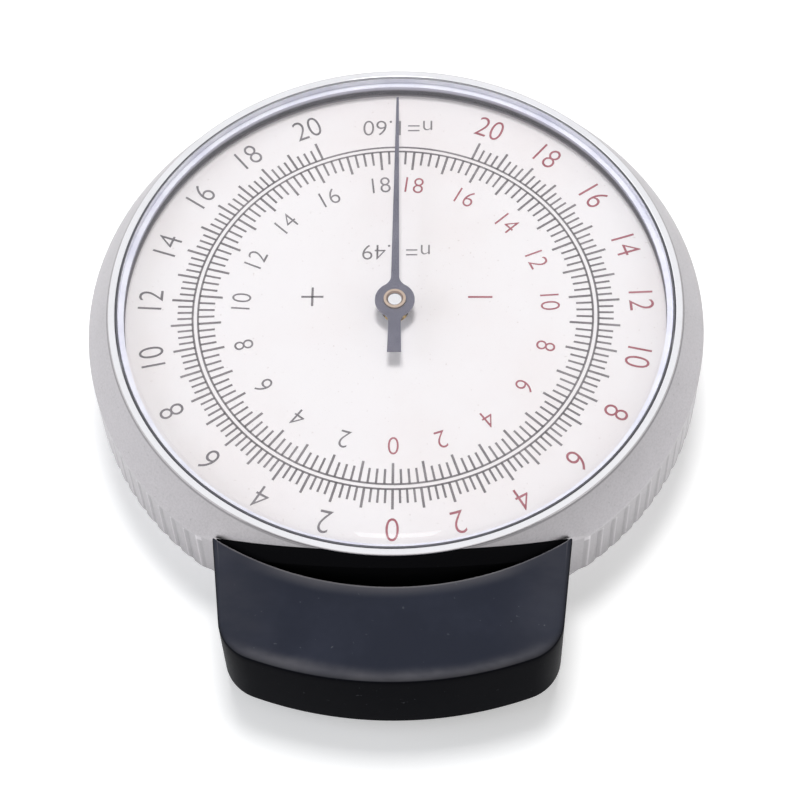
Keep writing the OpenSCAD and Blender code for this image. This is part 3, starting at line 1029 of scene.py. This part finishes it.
@dataclass
class CaseShell:
    """The fluted case with its plain cone, cut away on the side of the feet.

    A groove's shape is given over half its width, as shares of that half and of the depth.
    """

    metal: TurnedMetal
    cover: TurnedMetal
    steel: TurnedMetal
    radius: float = 27.75
    flutes: int = 108
    flute_depth: float = 0.14
    groove_w: float = 0.8
    groove_shape: tuple[Point2, ...] = (
        (0.0, 1.0), (0.3, 0.92), (0.62, 0.56), (0.9, 0.12), (1.0, 0.0),
    )
    groove_stop: float = 0.45
    groove_end: float = 0.22
    end_shares: tuple[float, ...] = (1.0, 0.75, 0.5, 0.25, 0.1, 0.0)
    band_low: float = 3.25
    band_high: float = 9.25
    top: float = 12.5
    top_r: float = 25.65
    bore_r: float = 24.3
    seat_r: float = 25.3
    seat: float = 10.0
    seat_margin: float = 0.1
    edge: float = 0.12
    edge_steps: int = 4
    cut_r: float = 44.0
    cut_y: float = 25.35
    cut_past: float = 5.0
    cut_steps: int = 480
    crease: float = 22.0

    def __post_init__(self) -> None:
        """Works out the height at which the grooves stop."""
        self.stop = self.band_high - self.groove_stop

    def _profile(self) -> list[Point2]:
        """The case's section, with small round edges and points where the grooves run out.

        Returns:
            A closed loop of radius and height, in millimetres.
        """
        corners = [
            (self.bore_r, self.band_low), (self.radius, self.band_low),
            (self.radius, self.band_high), (self.top_r, self.top), (self.seat_r, self.top),
            (self.seat_r, self.seat), (self.bore_r, self.seat),
        ]
        inside = (0, 4, 5, 6)
        loop = rounded(corners, self.edge, self.edge_steps, inside)
        rise = next(i for i, point in enumerate(loop) if point[1] > self.stop)
        ends = [(self.radius, self.stop - self.groove_end * share) for share in self.end_shares]
        return loop[:rise] + ends + loop[rise:]

    def _shell(self) -> Mesh:
        """Turns the fluted shell, with its columns gathered round the grooves.

        Returns:
            Its mesh, still whole on the side of the feet.
        """
        profile = self._profile()
        pitch = 360.0 / self.flutes
        half = math.degrees(self.groove_w / self.radius / 2)
        far = self.groove_shape[:0:-1]
        spots = [share * half for share, _ in self.groove_shape] + [0.5 * pitch]
        spots += [pitch - share * half for share, _ in far]
        depths = [depth for _, depth in self.groove_shape] + [0.0] + [depth for _, depth in far]

        def inward(column: int, row: int) -> float:
            """Depth of the groove at a point of the shell.

            Args:
                column: number of its column.
                row: number of its point in the profile.

            Returns:
                The depth, in millimetres.
            """
            radius, height = profile[row]
            if height >= self.stop or radius < self.seat_r + self.seat_margin:
                return 0.0
            share = min(1.0, (self.stop - height) / self.groove_end)
            depth = self.flute_depth * depths[column % len(spots)] * math.sqrt(1 - (1 - share) ** 2)
            return max(0.0, radius - (self.radius - depth))

        def turn(column: int) -> float:
            """Angle of a column, in degrees."""
            return (column // len(spots)) * pitch + spots[column % len(spots)]

        return lathe("case_shell", profile, self.flutes * len(spots), inward, turn)

    def build(self) -> None:
        """Makes the fluted shell, cuts it and dresses the case's own pieces."""
        metal = self.metal.make()
        shell = new_piece("case_shell", self._shell(), metal)
        centre = (0.0, self.cut_r - self.cut_y)
        disc = arc(centre, self.cut_r, 0.0, 360.0 - 360.0 / self.cut_steps, self.cut_steps - 1)
        ends = (self.band_low - self.cut_past, self.top + self.cut_past)
        tool = loft("cut_tool", [raised(disc, height) for height in ends])
        solid_cut(shell, new_piece("cut_tool", tool, metal), "INTERSECT")
        smooth(shell.data, self.crease)
        settle(shell, Body.CASE, "case_metal", "case_body")
        dress(self.cover, "back_cover")
        dress(self.steel, "back_cover_screws")


@dataclass
class BezelAndCrystal:
    """The polished ring, the crystal it holds and the sleeve that seals it."""

    chrome: PolishedMetal
    satin: SkirtMetal
    clear: ClearCrystal
    frosted: FrostedEdge
    rim_satin: TurnedMetal
    rubber: MouldedPlastic
    columns: int = 288
    outer_r: float = 25.65
    case_top: float = 12.5
    rim: float = 12.65
    rim_lean: float = 0.03
    rim_drop: float = 0.02
    land_r: float = 24.95
    skirt_r: float = 25.2
    sight_r: float = 24.3
    dial: float = 10.5
    seat: float = 11.9
    chamfer: float = 0.12
    edge: float = 0.12
    edge_steps: int = 5
    wall_margin: float = 0.05
    ring_crease: float = 35.0
    edge_r: float = 24.76
    edge_top: float = 12.55
    edge_margin: float = 0.02
    foot_lift: float = 0.02
    foot_w: float = 0.5
    shoulder: float = 3.0
    shoulder_steps: int = 16
    crown: float = 0.15
    crown_shares: tuple[float, ...] = (0.02, 0.2, 0.4, 0.6, 0.8)
    thick: float = 0.9
    crystal_top: float = 14.0
    crystal_crease: float = 40.0

    def _ring(self) -> Mesh:
        """The ring: a low round rim, a sunk seat for the crystal and a skirt down to the dial.

        Returns:
            Its mesh.
        """
        section = [
            (self.sight_r, self.dial), (self.skirt_r, self.dial), (self.skirt_r, self.case_top),
            (self.outer_r, self.case_top), (self.outer_r - self.rim_lean, self.rim - self.rim_drop),
            (self.land_r + self.chamfer, self.rim), (self.land_r, self.rim - self.chamfer),
            (self.land_r, self.seat), (self.sight_r, self.seat),
        ]
        sharp = (0, 1, 2, 3, 7)
        loop = rounded(section, self.edge, self.edge_steps, sharp)
        return lathe("bezel_ring", loop, self.columns)

    def _ring_finish(self, radius: float, _height: float) -> Finish:
        """Satin on the outside of the rim and on the wall over the dial, and polish between.

        Args:
            radius: radius of a face's middle.
            _height: its height, which makes no difference.

        Returns:
            The face's finish.
        """
        if radius > self.outer_r - self.edge:
            return self.rim_satin
        return self.satin if radius < self.sight_r + self.wall_margin else self.chrome

    def _crystal(self) -> Mesh:
        """The crystal: a shallow dome that rolls over into a plain edge, hollowed below.

        Returns:
            Its mesh.
        """
        flat_r, flat_z = self.edge_r - self.shoulder, self.crystal_top - self.crown
        inner_w, ceiling = self.shoulder - self.foot_w, flat_z - self.thick
        foot = self.seat + self.foot_lift
        turns = quarter(self.shoulder_steps)
        dome = [(flat_r * t, self.crystal_top - self.crown * t * t) for t in self.crown_shares]
        under = [(r, height - self.thick) for r, height in reversed(dome)]
        roll = [(flat_r + self.shoulder * math.sin(a),
                 self.edge_top + (flat_z - self.edge_top) * math.cos(a)) for a in turns]
        hollow = [(flat_r + inner_w * math.sin(a), foot + (ceiling - foot) * math.cos(a))
                  for a in reversed(turns)]
        loop = dome + roll + [(self.edge_r, foot)] + hollow + under
        mesh = lathe("crystal_dome", loop, self.columns)
        work = bmesh.new()
        work.from_mesh(mesh)
        hub_r = (dome[0][0] + self.edge_margin) * MM
        hub = [f for f in work.faces if max(v.co.xy.length for v in f.verts) < hub_r]
        bmesh.ops.delete(work, geom=hub, context="FACES")
        bmesh.ops.holes_fill(work, edges=[e for e in work.edges if e.is_boundary], sides=0)
        bmesh.ops.recalc_face_normals(work, faces=work.faces)
        work.to_mesh(mesh)
        work.free()
        return mesh

    def _crystal_finish(self, radius: float, height: float) -> Finish:
        """Frosted on the upright edge and its foot, and clear elsewhere."""
        outside = radius > self.edge_r - self.foot_w + self.edge_margin
        return self.frosted if outside and height < self.edge_top - self.edge_margin else self.clear

    def build(self) -> None:
        """Makes the ring and the crystal, and dresses the seal."""
        ring = new_piece("bezel_ring", self._ring(), self.chrome.make())
        smooth(ring.data, self.ring_crease)
        paint(ring, (self.chrome, self.satin, self.rim_satin), self._ring_finish)
        settle(ring, Body.CASE, "bezel_chrome", "bezel")
        crystal = new_piece("crystal_dome", self._crystal(), self.clear.make())
        smooth(crystal.data, self.crystal_crease)
        paint(crystal, (self.clear, self.frosted), self._crystal_finish)
        settle(crystal, Body.CASE, "crystal_clear", "crystal")
        dress(self.rubber, "crystal_gasket")


@dataclass(frozen=True)
class Scale:
    """One dioptre scale: it opens out slowly, as the depth of a curve outgrows its power."""

    line_r: float
    short_r: float
    long_r: float
    step: float
    opening: float
    last_tick: float
    last_figure: int
    figure_r: float
    figure_h: float
    squeeze: float
    plus_lag: float
    minus_lag: float

    def degrees(self, value: float) -> float:
        """Angle of a reading from the feet, in degrees."""
        return self.step * value * (1 + self.opening * value * value)

    def figure_degrees(self, value: int, side: Side) -> float:
        """Angle of a printed figure, which lies a little nearer to zero than its tick."""
        lag = self.plus_lag if side is Side.PLUS else self.minus_lag
        return side.value * (self.degrees(value) - (lag if value else 0.0))


class Figure(NamedTuple):
    """A printed figure: text, height, share of the font's width, centre and the top's direction."""

    text: str
    height: float
    squeeze: float
    place: Point2
    up: float


@dataclass
class DialFace:
    """The white dial and everything printed on it."""

    white: DialPaint
    brass: TurnedMetal
    grey: MattCoat
    black: MattCoat
    red: MattCoat
    level: float = 10.5
    film: float = 0.012
    outer: Scale = Scale(
        line_r=18.23, short_r=19.6, long_r=20.2, step=7.72, opening=5.0e-5, last_tick=20.0,
        last_figure=20, figure_r=22.15, figure_h=2.2, squeeze=0.84, plus_lag=0.2, minus_lag=0.6,
    )
    inner: Scale = Scale(
        line_r=17.75, short_r=16.27, long_r=15.67, step=9.43, opening=9.3e-5, last_tick=18.25,
        last_figure=18, figure_r=13.95, figure_h=1.72, squeeze=0.89, plus_lag=0.9, minus_lag=1.5,
    )
    index: tuple[Figure, ...] = (
        Figure("n=1.60", 1.72, 0.95, (0.0, 20.5), -90.0),
        Figure("n=1.49", 1.62, 0.96, (0.0, 6.35), -90.0),
    )
    line_w: float = 0.185
    line_steps: int = 240
    ticks_per_dioptre: int = 4
    thin: float = 0.2
    bold: float = 0.225
    slim: float = 0.012
    sign_w: float = 0.2
    plus_at: Point2 = (-7.5, 1.5)
    plus_half: float = 1.0
    minus_at: Point2 = (7.65, 1.45)
    minus_half: float = 1.1

    def __post_init__(self) -> None:
        """Starts an empty list of printed strokes, and finds the height of the ink."""
        self.marks: list[list[Point3]] = []
        self.ink_z = self.level + self.film

    @staticmethod
    def _at(radius: float, degrees: float) -> Vector:
        """A point of the scale: degrees run from the feet, plus side on the left."""
        a = math.radians(degrees)
        return Vector((-radius * math.sin(a), -radius * math.cos(a)))

    def _quad(self, *corners: Vector) -> None:
        """Adds one printed quadrilateral."""
        self.marks.append([(p.x, p.y, self.ink_z) for p in corners])

    def _stroke(self, start: Vector, end: Vector, width: float) -> None:
        """Adds one straight printed stroke.

        Args:
            start: where it starts.
            end: where it ends.
            width: its width.
        """
        along = (end - start).normalized()
        off = Vector((-along.y, along.x)) * width / 2
        self._quad(start - off, end - off, end + off, start + off)

    def _circle(self, radius: float) -> None:
        """Adds a printed circle.

        Args:
            radius: radius of the middle of its line.
        """
        inside, outside = radius - self.line_w / 2, radius + self.line_w / 2
        for i in range(self.line_steps):
            a, b = (360.0 * (i + k) / self.line_steps for k in (0, 1))
            corners = ((inside, a), (outside, a), (outside, b), (inside, b))
            self._quad(*(self._at(r, degrees) for r, degrees in corners))

    def _ticks(self, scale: Scale) -> None:
        """Adds the quarter-dioptre ticks of one scale.

        Args:
            scale: the scale.
        """
        last = round(scale.last_tick * self.ticks_per_dioptre)
        for tick in range(-last, last + 1):
            degrees = scale.degrees(tick / self.ticks_per_dioptre)
            whole = tick % self.ticks_per_dioptre == 0
            reach, width = (scale.long_r, self.bold) if whole else (scale.short_r, self.thin)
            self._stroke(self._at(scale.line_r, degrees), self._at(reach, degrees), width)

    def _print_marks(self, name: str, ink: MattCoat) -> None:
        """Makes a piece of the strokes gathered so far.

        Args:
            name: the piece's name.
            ink: its finish.
        """
        corners = [p for quad in self.marks for p in quad]
        faces = [tuple(range(i, i + 4)) for i in range(0, len(corners), 4)]
        self.marks.clear()
        mesh = mesh_from(name, corners, faces, outward=False)
        settle(new_piece(name, mesh, ink.make()), Body.CASE, "dial_white")

    def _add_figure(self, whole: bmesh.types.BMesh, figure: Figure) -> None:
        """Adds one printed figure, as flat faces.

        Args:
            whole: the mesh under construction, in metres.
            figure: what is printed and where.
        """
        curve = bpy.data.curves.new("figures", "FONT")
        curve.body = figure.text
        curve.offset = -self.slim
        curve.align_x, curve.align_y = "CENTER", "CENTER"
        holder = bpy.data.objects.new("figures", curve)
        bpy.context.scene.collection.objects.link(holder)
        bpy.context.view_layer.update()
        graph = bpy.context.evaluated_depsgraph_get()
        flat = bpy.data.meshes.new_from_object(holder.evaluated_get(graph))
        lows = [min(v.co[i] for v in flat.vertices) for i in (0, 1)]
        highs = [max(v.co[i] for v in flat.vertices) for i in (0, 1)]
        scale = figure.height / (highs[1] - lows[1]) * MM
        middle = Matrix.Translation((-(lows[0] + highs[0]) / 2, -(lows[1] + highs[1]) / 2, 0))
        size = Matrix.Diagonal((scale * figure.squeeze, scale, scale, 1))
        turn = Matrix.Rotation(math.radians(figure.up - 90), 4, "Z")
        x, y = figure.place
        move = Matrix.Translation((x * MM, y * MM, self.ink_z * MM))
        flat.transform(move @ turn @ size @ middle)
        whole.from_mesh(flat)
        bpy.data.objects.remove(holder)
        bpy.data.curves.remove(curve)
        bpy.data.meshes.remove(flat)

    def _print_figures(self, name: str, figures: Iterable[Figure], ink: MattCoat) -> None:
        """Joins printed figures of one ink into a piece.

        Args:
            name: the piece's name.
            figures: the figures.
            ink: its finish.
        """
        mesh = bpy.data.meshes.new(name)
        whole = bmesh.new()
        for figure in figures:
            self._add_figure(whole, figure)
        for face in whole.faces:
            if face.normal.z < 0:
                face.normal_flip()
        whole.to_mesh(mesh)
        whole.free()
        settle(new_piece(name, mesh, ink.make()), Body.CASE, "dial_white")

    def _numbers(self, side: Side) -> list[Figure]:
        """The even numbers of one half of both scales, with their tops outwards.

        Args:
            side: which half; zero stands with the minus half.

        Returns:
            One figure per number.
        """
        figures = []
        for scale in (self.outer, self.inner):
            for value in range(0 if side is Side.MINUS else 2, scale.last_figure + 1, 2):
                place = self._at(scale.figure_r, scale.figure_degrees(value, side))
                up = math.degrees(math.atan2(place.y, place.x))
                figures.append(Figure(str(value), scale.figure_h, scale.squeeze, tuple(place), up))
        return figures

    def build(self) -> None:
        """Dresses the dial and prints the scale."""
        dress(self.white, "dial_plate")
        dress(self.brass, "dial_feet")
        for scale in (self.outer, self.inner):
            self._circle(scale.line_r)
            self._ticks(scale)
        self._print_marks("scale_marks", self.grey)

        plus, minus = Vector(self.plus_at), Vector(self.minus_at)
        for arm in (Vector((self.plus_half, 0)), Vector((0, self.plus_half))):
            self._stroke(plus - arm, plus + arm, self.sign_w)
        self._print_marks("plus_sign", self.black)
        arm = Vector((self.minus_half, 0))
        self._stroke(minus - arm, minus + arm, self.sign_w)
        self._print_marks("minus_sign", self.red)

        self._print_figures("index_figures", self.index, self.grey)
        self._print_figures("black_figures", self._numbers(Side.PLUS), self.black)
        self._print_figures("red_figures", self._numbers(Side.MINUS), self.red)


@dataclass
class Hand:
    """The pointer with its brass ring and the arbor that carries it."""

    blue: BluedSteel
    brass: PolishedMetal
    # Dark brass: patina, and painted shade round the arbor's end.
    patina: PolishedMetal
    steel: PolishedMetal
    bore_r: float = 0.62
    ring_r: float = 1.0
    shoulder_r: float = 1.4
    low: float = 10.85
    shoulder_low: float = 11.85
    shoulder_high: float = 12.15
    top: float = 12.6
    chamfer: float = 0.14
    edge: float = 0.07
    edge_steps: int = 4
    margin: float = 0.01
    columns: int = 64
    crease: float = 35.0

    def _collet(self) -> Mesh:
        """The brass ring, with a chamfer round the arbor's end.

        Returns:
            Its mesh.
        """
        section = [
            (self.bore_r, self.low), (self.ring_r, self.low), (self.ring_r, self.shoulder_low),
            (self.shoulder_r, self.shoulder_low), (self.shoulder_r, self.shoulder_high),
            (self.ring_r, self.shoulder_high), (self.ring_r, self.top),
            (self.bore_r + self.chamfer, self.top), (self.bore_r, self.top - self.chamfer),
        ]
        sharp = (0, 1, 2, 5, 7, 8)
        loop = rounded(section, self.edge, self.edge_steps, sharp)
        return lathe("collet_ring", loop, self.columns)

    def _collet_finish(self, radius: float, height: float) -> Finish:
        """Blue to the shoulder and dark brass in the chamfer and bore, both partly painted shade;
        brass between.

        Args:
            radius: radius of a face's middle.
            height: its height.

        Returns:
            The face's finish.
        """
        # The blued shoulder under the hub also stands in as painted shade below the hub.
        if height < self.shoulder_high + self.margin:
            return self.blue
        # The dark chamfer round the arbor's end is patina and painted shade.
        return self.patina if radius < self.bore_r + self.chamfer - self.margin else self.brass

    def build(self) -> None:
        """Makes the ring and dresses the hand's nodes."""
        dress(self.blue, "pointer")
        ring = new_piece("collet_ring", self._collet(), self.brass.make())
        smooth(ring.data, self.crease)
        paint(ring, (self.brass, self.patina, self.blue), self._collet_finish)
        settle(ring, Body.HAND, "brass", "pointer_collet")
        dress(self.brass, "hairspring_collet")
        dress(self.steel, "centre_arbor")


@dataclass
class Movement:
    """Plates, gears and springs between the dial and the back cover."""

    brass: TurnedMetal
    gilt: PolishedMetal
    steel: TurnedMetal
    blue: BluedSteel

    def build(self) -> None:
        """Dresses the movement's nodes."""
        dress(self.brass, "front_plate", "back_plate", "pillars", "spring_bracket")
        dress(self.gilt, "drive_gear", "centre_bush", "plunger_bush", "plunger_collar")
        dress(self.steel, "gear_arbor", "plunger_rack", "hairspring_stud", "return_spring")
        dress(self.steel, "pillar_screws", "plate_screws", "bracket_screws", "foot_screws")
        dress(self.blue, "hairspring")


@dataclass
class Feet:
    """The foot block with its fixed feet and the sliding middle foot."""

    black: MouldedPlastic
    steel: PolishedMetal

    def build(self) -> None:
        """Dresses the feet and their block."""
        dress(self.black, "foot_block")
        dress(self.steel, "plunger", "left_foot", "right_foot")


@dataclass
class CapCover:
    """The hollow cap that slips over the feet."""

    plastic: MouldedPlastic
    mouth: float = 15.3
    tip: float = 14.3
    taper: float = 9.0
    end: float = 36.1
    low: float = 1.95
    high: float = 10.5
    wall: float = 1.3
    corner: float = 4.0
    corner_steps: int = 14
    bow: float = 34.0
    bow_steps: int = 24
    rim_r: float = 28.05
    rim_steps: int = 64
    cone_z: float = 9.25
    cone_slope: float = 2.1 / 3.25
    corner_y: float = -0.83 * 27.75
    hollow_past: float = 6.0
    edge: float = 0.55
    edge_steps: int = 6
    rim_edge: float = 0.45
    crease: float = 30.0

    def __post_init__(self) -> None:
        """Works out how far the sides lean."""
        self.lean = math.atan((self.mouth - self.tip) / self.taper)

    def _side(self, inset: float) -> list[Point2]:
        """The right half of the plan, from the middle of the end to the side.

        Args:
            inset: how far it is drawn in.

        Returns:
            Its points, in millimetres.
        """
        slope = math.tan(self.lean)
        bow_y = self.bow - self.end
        a = self.mouth - self.corner / math.cos(self.lean) - self.corner_y * slope
        p, q = 1 + slope * slope, a * slope - bow_y
        s = a * a + bow_y * bow_y - (self.bow - self.corner) ** 2
        cy = (-q - math.sqrt(q * q - p * s)) / p
        cx = a + slope * cy
        turn = math.degrees(math.atan2(cy - bow_y, cx))
        end = arc((0.0, bow_y), self.bow - inset, -90.0, turn, self.bow_steps)
        bend = arc((cx, cy), self.corner - inset, turn, -math.degrees(self.lean), self.corner_steps)
        return end + bend[1:]

    def _edge_x(self, y: float, inset: float) -> float:
        """Half width of the tapering side at y."""
        return self.mouth - inset / math.cos(self.lean) + (y - self.corner_y) * math.tan(self.lean)

    @staticmethod
    def _closed(right: list[Point2], between: list[Point2]) -> list[Point2]:
        """A whole plan from its right half and the points between the halves."""
        return right + between + [(-x, y) for x, y in right[:0:-1]]

    def _outline(self, inset: float, rim: float) -> list[Point2]:
        """The outer plan at one level, closed by the hollow rim that follows the case.

        Args:
            inset: how far the sides and the end are drawn in.
            rim: radius of the rim.

        Returns:
            Its points, in millimetres.
        """
        y, rounds = self.corner_y, 30
        for _ in range(rounds):
            y = -math.sqrt(rim ** 2 - self._edge_x(y, inset) ** 2)
        turn = math.degrees(math.atan2(y, self._edge_x(y, inset)))
        along_rim = arc((0.0, 0.0), rim, turn, -180 - turn, self.rim_steps)
        return self._closed(self._side(inset), along_rim)

    def _levels(self) -> list[tuple[float, float, float]]:
        """Height, inset and rim radius of each level, with round edges below and above.

        Returns:
            The levels from the bottom upwards.
        """
        turns = quarter(self.edge_steps)
        sole, edge = self.edge / 2, self.edge
        low = [(self.low + sole * (1 - math.sin(t)), sole * (1 - math.cos(t)))
               for t in reversed(turns)]
        high = [(self.high - edge * (1 - math.sin(t)), edge * (1 - math.cos(t))) for t in turns]
        levels = []
        for height, inset in low + [(self.cone_z, 0.0)] + high:
            over = max(0.0, self.rim_edge - (self.high - height)) / self.rim_edge
            soft = self.rim_edge * (1 - math.sqrt(1 - over * over))
            rim = self.rim_r - self.cone_slope * max(0.0, height - self.cone_z) + soft
            levels.append((height, inset, rim))
        return levels

    def _hollow(self) -> list[Point2]:
        """The inner plan, run out past the rim.

        Returns:
            Its points, in millimetres.
        """
        y = self.corner_y + self.hollow_past
        x = self._edge_x(y, self.wall)
        return self._closed(self._side(self.wall), [(x, y), (-x, y)])

    def build(self) -> None:
        """Makes the cap with rounded edges and hollows it."""
        finish = self.plastic.make()
        rings = [raised(self._outline(inset, rim), height) for height, inset, rim in self._levels()]
        cap = new_piece("slip_cap", loft("slip_cap", rings), finish)
        plan, ends = self._hollow(), (self.low + self.wall, self.high - self.wall)
        hollow = loft("cap_hollow", [raised(plan, height) for height in ends])
        solid_cut(cap, new_piece("cap_hollow", hollow, finish), "DIFFERENCE")
        smooth(cap.data, self.crease)
        settle(cap, Body.CAP, "cap_black", "protective_cap")


# Studio


@dataclass(frozen=True)
class Lamp:
    """A square soft lamp, in metres and watts, and whether gloss and dull surfaces see it."""

    name: str
    place: Point3
    size: float
    watts: float
    tint: Colour = WHITE
    glossy: bool = False
    diffuse: bool = True

    def hang(self, aim: Point3, share: float) -> None:
        """Hangs the lamp.

        Args:
            aim: the point that it faces.
            share: share of its power that it gives.
        """
        light = bpy.data.lights.new(self.name, "AREA")
        light.shape = "SQUARE"
        light.size = self.size
        light.energy = self.watts * share
        light.color = self.tint
        holder = bpy.data.objects.new(self.name, light)
        holder.location = self.place
        facing = Vector(aim) - Vector(self.place)
        holder.rotation_euler = facing.to_track_quat("-Z", "Y").to_euler()
        holder.visible_glossy = self.glossy
        holder.visible_diffuse = self.diffuse
        bpy.context.scene.collection.objects.link(holder)


@dataclass
class Studio:
    """A pale floor, soft lamps and an even world."""

    paper: FloorPaper
    floor_half: float = 3.0
    floor_drop_mm: float = 0.05
    world: float = 0.33
    horizon: float = 0.66
    room_rise: Span = (0.02, 0.55)
    left_glow: float = 0.3
    glow_across: Span = (0.1, 0.95)
    glow_height: Span = (0.45, 0.9)
    key: float = 0.70
    aim: Point3 = (0.0, 0.0, 0.01)
    lamps: tuple[Lamp, ...] = (
        Lamp("top_lamp", (0.0, 0.14, 0.60), 0.15, 3.0),
        Lamp("front_lamp", (0.0, -0.45, 0.62), 0.25, 0.45, glossy=True, diffuse=False),
        Lamp("left_lamp", (-0.48, -0.06, 0.24), 0.30, 1.25, (0.84, 0.9, 1.0)),
        Lamp("right_lamp", (0.48, -0.10, 0.24), 0.30, 0.4),
    )

    def _floor(self) -> None:
        """Lays the pale floor, just below the object."""
        half = self.floor_half / MM
        corners = [(-half, -half), (half, -half), (half, half), (-half, half)]
        mesh = mesh_from("floor", raised(corners, -self.floor_drop_mm), [(0, 1, 2, 3)])
        new_piece("floor", mesh, self.paper.make())

    def _world(self) -> None:
        """Lights the scene evenly, and shows a white room that dims to the horizon in metal."""
        world = bpy.data.worlds.new("studio")
        bpy.context.scene.world = world
        world.use_nodes = True
        g = Graph(world.node_tree)
        across, _, height = g.place("Generated")
        low = 1.0 - g.ramp(height, self.glow_height)
        glow = self.left_glow * g.ramp(0.0 - across, self.glow_across) * low
        room = self.horizon + (1.0 - self.horizon) * g.ramp(height, self.room_rise) + glow
        white, gloss = g.seen("Camera", "Transmission"), g.seen("Glossy")
        level = white + (1.0 - white) * (gloss * room + (1.0 - gloss) * self.world)
        back = g.node("ShaderNodeBackground", None, {"Color": WHITE, "Strength": level})
        g.node("ShaderNodeOutputWorld", None, {"Surface": back.outputs[0]})

    def build(self) -> None:
        """Sets the floor, the world and the lamps."""
        bpy.context.scene.view_settings.view_transform = "Standard"
        self._floor()
        self._world()
        for lamp in self.lamps:
            lamp.hang(self.aim, self.key)


@dataclass
class PhotoCamera:
    """The camera, solved from the dial's circles in the photograph."""

    dial: float = 10.5
    place: Point3 = (5.102, -112.150, 173.933)
    elevation: float = 59.386
    azimuth: float = 2.545
    roll: float = -2.230
    focal_px: float = 2300.85
    width_px: float = 800.0
    sensor: float = 36.0
    clip: Span = (0.01, 50.0)

    def build(self) -> None:
        """Puts the camera in its place."""
        e, a, r = (math.radians(v) for v in (self.elevation, self.azimuth, self.roll))
        right = Vector((math.cos(a), math.sin(a), 0))
        back = Vector((math.sin(a) * math.cos(e), -math.cos(a) * math.cos(e), math.sin(e)))
        up = back.cross(right)
        turned_right = math.cos(r) * right + math.sin(r) * up
        turned_up = -math.sin(r) * right + math.cos(r) * up
        data = bpy.data.cameras.new("photo_camera")
        data.sensor_width = self.sensor
        data.lens = self.focal_px / self.width_px * self.sensor
        data.clip_start, data.clip_end = self.clip
        camera = bpy.data.objects.new("photo_camera", data)
        bpy.context.scene.collection.objects.link(camera)
        spot = Vector(self.place) * MM + Vector((0, 0, self.dial * MM))
        turn = Matrix((turned_right, turned_up, back)).transposed().to_4x4()
        camera.matrix_world = Matrix.Translation(spot) @ turn
        bpy.context.scene.camera = camera


def main() -> None:
    """Builds the sub-assemblies in order and reports each piece."""
    logging.basicConfig(level=logging.INFO, format="%(name)s: %(message)s")
    PhotoCamera().build()
    Studio(FloorPaper("floor_paper", (0.82,) * 3, (0.25,) * 3, (0.38,) * 3)).build()

    plain = TurnedMetal("satin_cover", linear(195, 192, 195), 0.36)
    steel = TurnedMetal("ground_steel", linear(196, 197, 200), 0.30)
    brass = TurnedMetal("plate_brass", linear(206, 172, 104), 0.32)
    chrome = PolishedMetal("bezel_polish", linear(240, 240, 244), 0.07)

    grip = GripBand(radius=27.75, top=9.25, groove_top=8.8, seam=12.5)
    CaseShell(TurnedMetal("satin_case", linear(190, 187, 190), 0.36, grip), plain, steel).build()

    BezelAndCrystal(
        chrome,
        # The skirt's second and third colours are painted reflections: the dark line and the paler
        # foot.
        SkirtMetal("skirt_satin", linear(186, 186, 200), linear(62, 60, 68), linear(160, 156, 162)),
        ClearCrystal("clear_crystal", (0.98, 0.99, 1.0)),
        # A frosted edge in pale lavender, partly painted reflection.
        FrostedEdge("crystal_edge", linear(246, 246, 254), linear(230, 230, 244)),
        plain,
        # The gasket's second colour is painted top light.
        MouldedPlastic("gasket_rubber", (0.09, 0.09, 0.1), (0.12, 0.12, 0.135), 0.7),
    ).build()

    DialFace(
        DialPaint("dial_paint", linear(250, 246, 247), linear(247, 240, 240)),
        brass,
        MattCoat("grey_ink", linear(112, 106, 110), linear(140, 134, 137)),
        MattCoat("black_ink", linear(106, 101, 106), linear(136, 130, 134)),
        MattCoat("red_ink", linear(158, 76, 90), linear(178, 106, 117)),
    ).build()

    Hand(
        BluedSteel("slate_blue", linear(100, 99, 116), linear(118, 116, 132)),
        PolishedMetal("pale_brass", linear(206, 184, 166), 0.3),
        PolishedMetal("brass_patina_and_shade", linear(150, 128, 116), 0.4),
        chrome,
    ).build()

    gilt = PolishedMetal("gilt_brass", linear(214, 178, 110), 0.18)
    hair_blue = BluedSteel("spring_blue", linear(70, 92, 140), linear(96, 116, 158), 0.3)
    Movement(brass, gilt, steel, hair_blue).build()

    Feet(
        # The block is near black: black plastic, darkened further as painted shade in the hollow
        # under the cap.
        MouldedPlastic("block_plastic", (0.0025, 0.0025, 0.003), (0.004, 0.004, 0.005), 0.75,
                       shine=0.05, dust=0.08),
        PolishedMetal("foot_polish", linear(214, 215, 218), 0.14),
    ).build()

    # Painted highlights, partly wear, on the cap.
    rubbing = Rubbing(share=0.85, mouth_r=27.3, front_r=34.0, front_y=-2.1)
    CapCover(
        # The cap's second colour is painted top light.
        MouldedPlastic("cap_plastic", (0.0065, 0.0068, 0.0095), (0.027, 0.03, 0.043), 0.36,
                       shine=0.004, rubbing=rubbing),
    ).build()


if __name__ == "__main__":
    main()
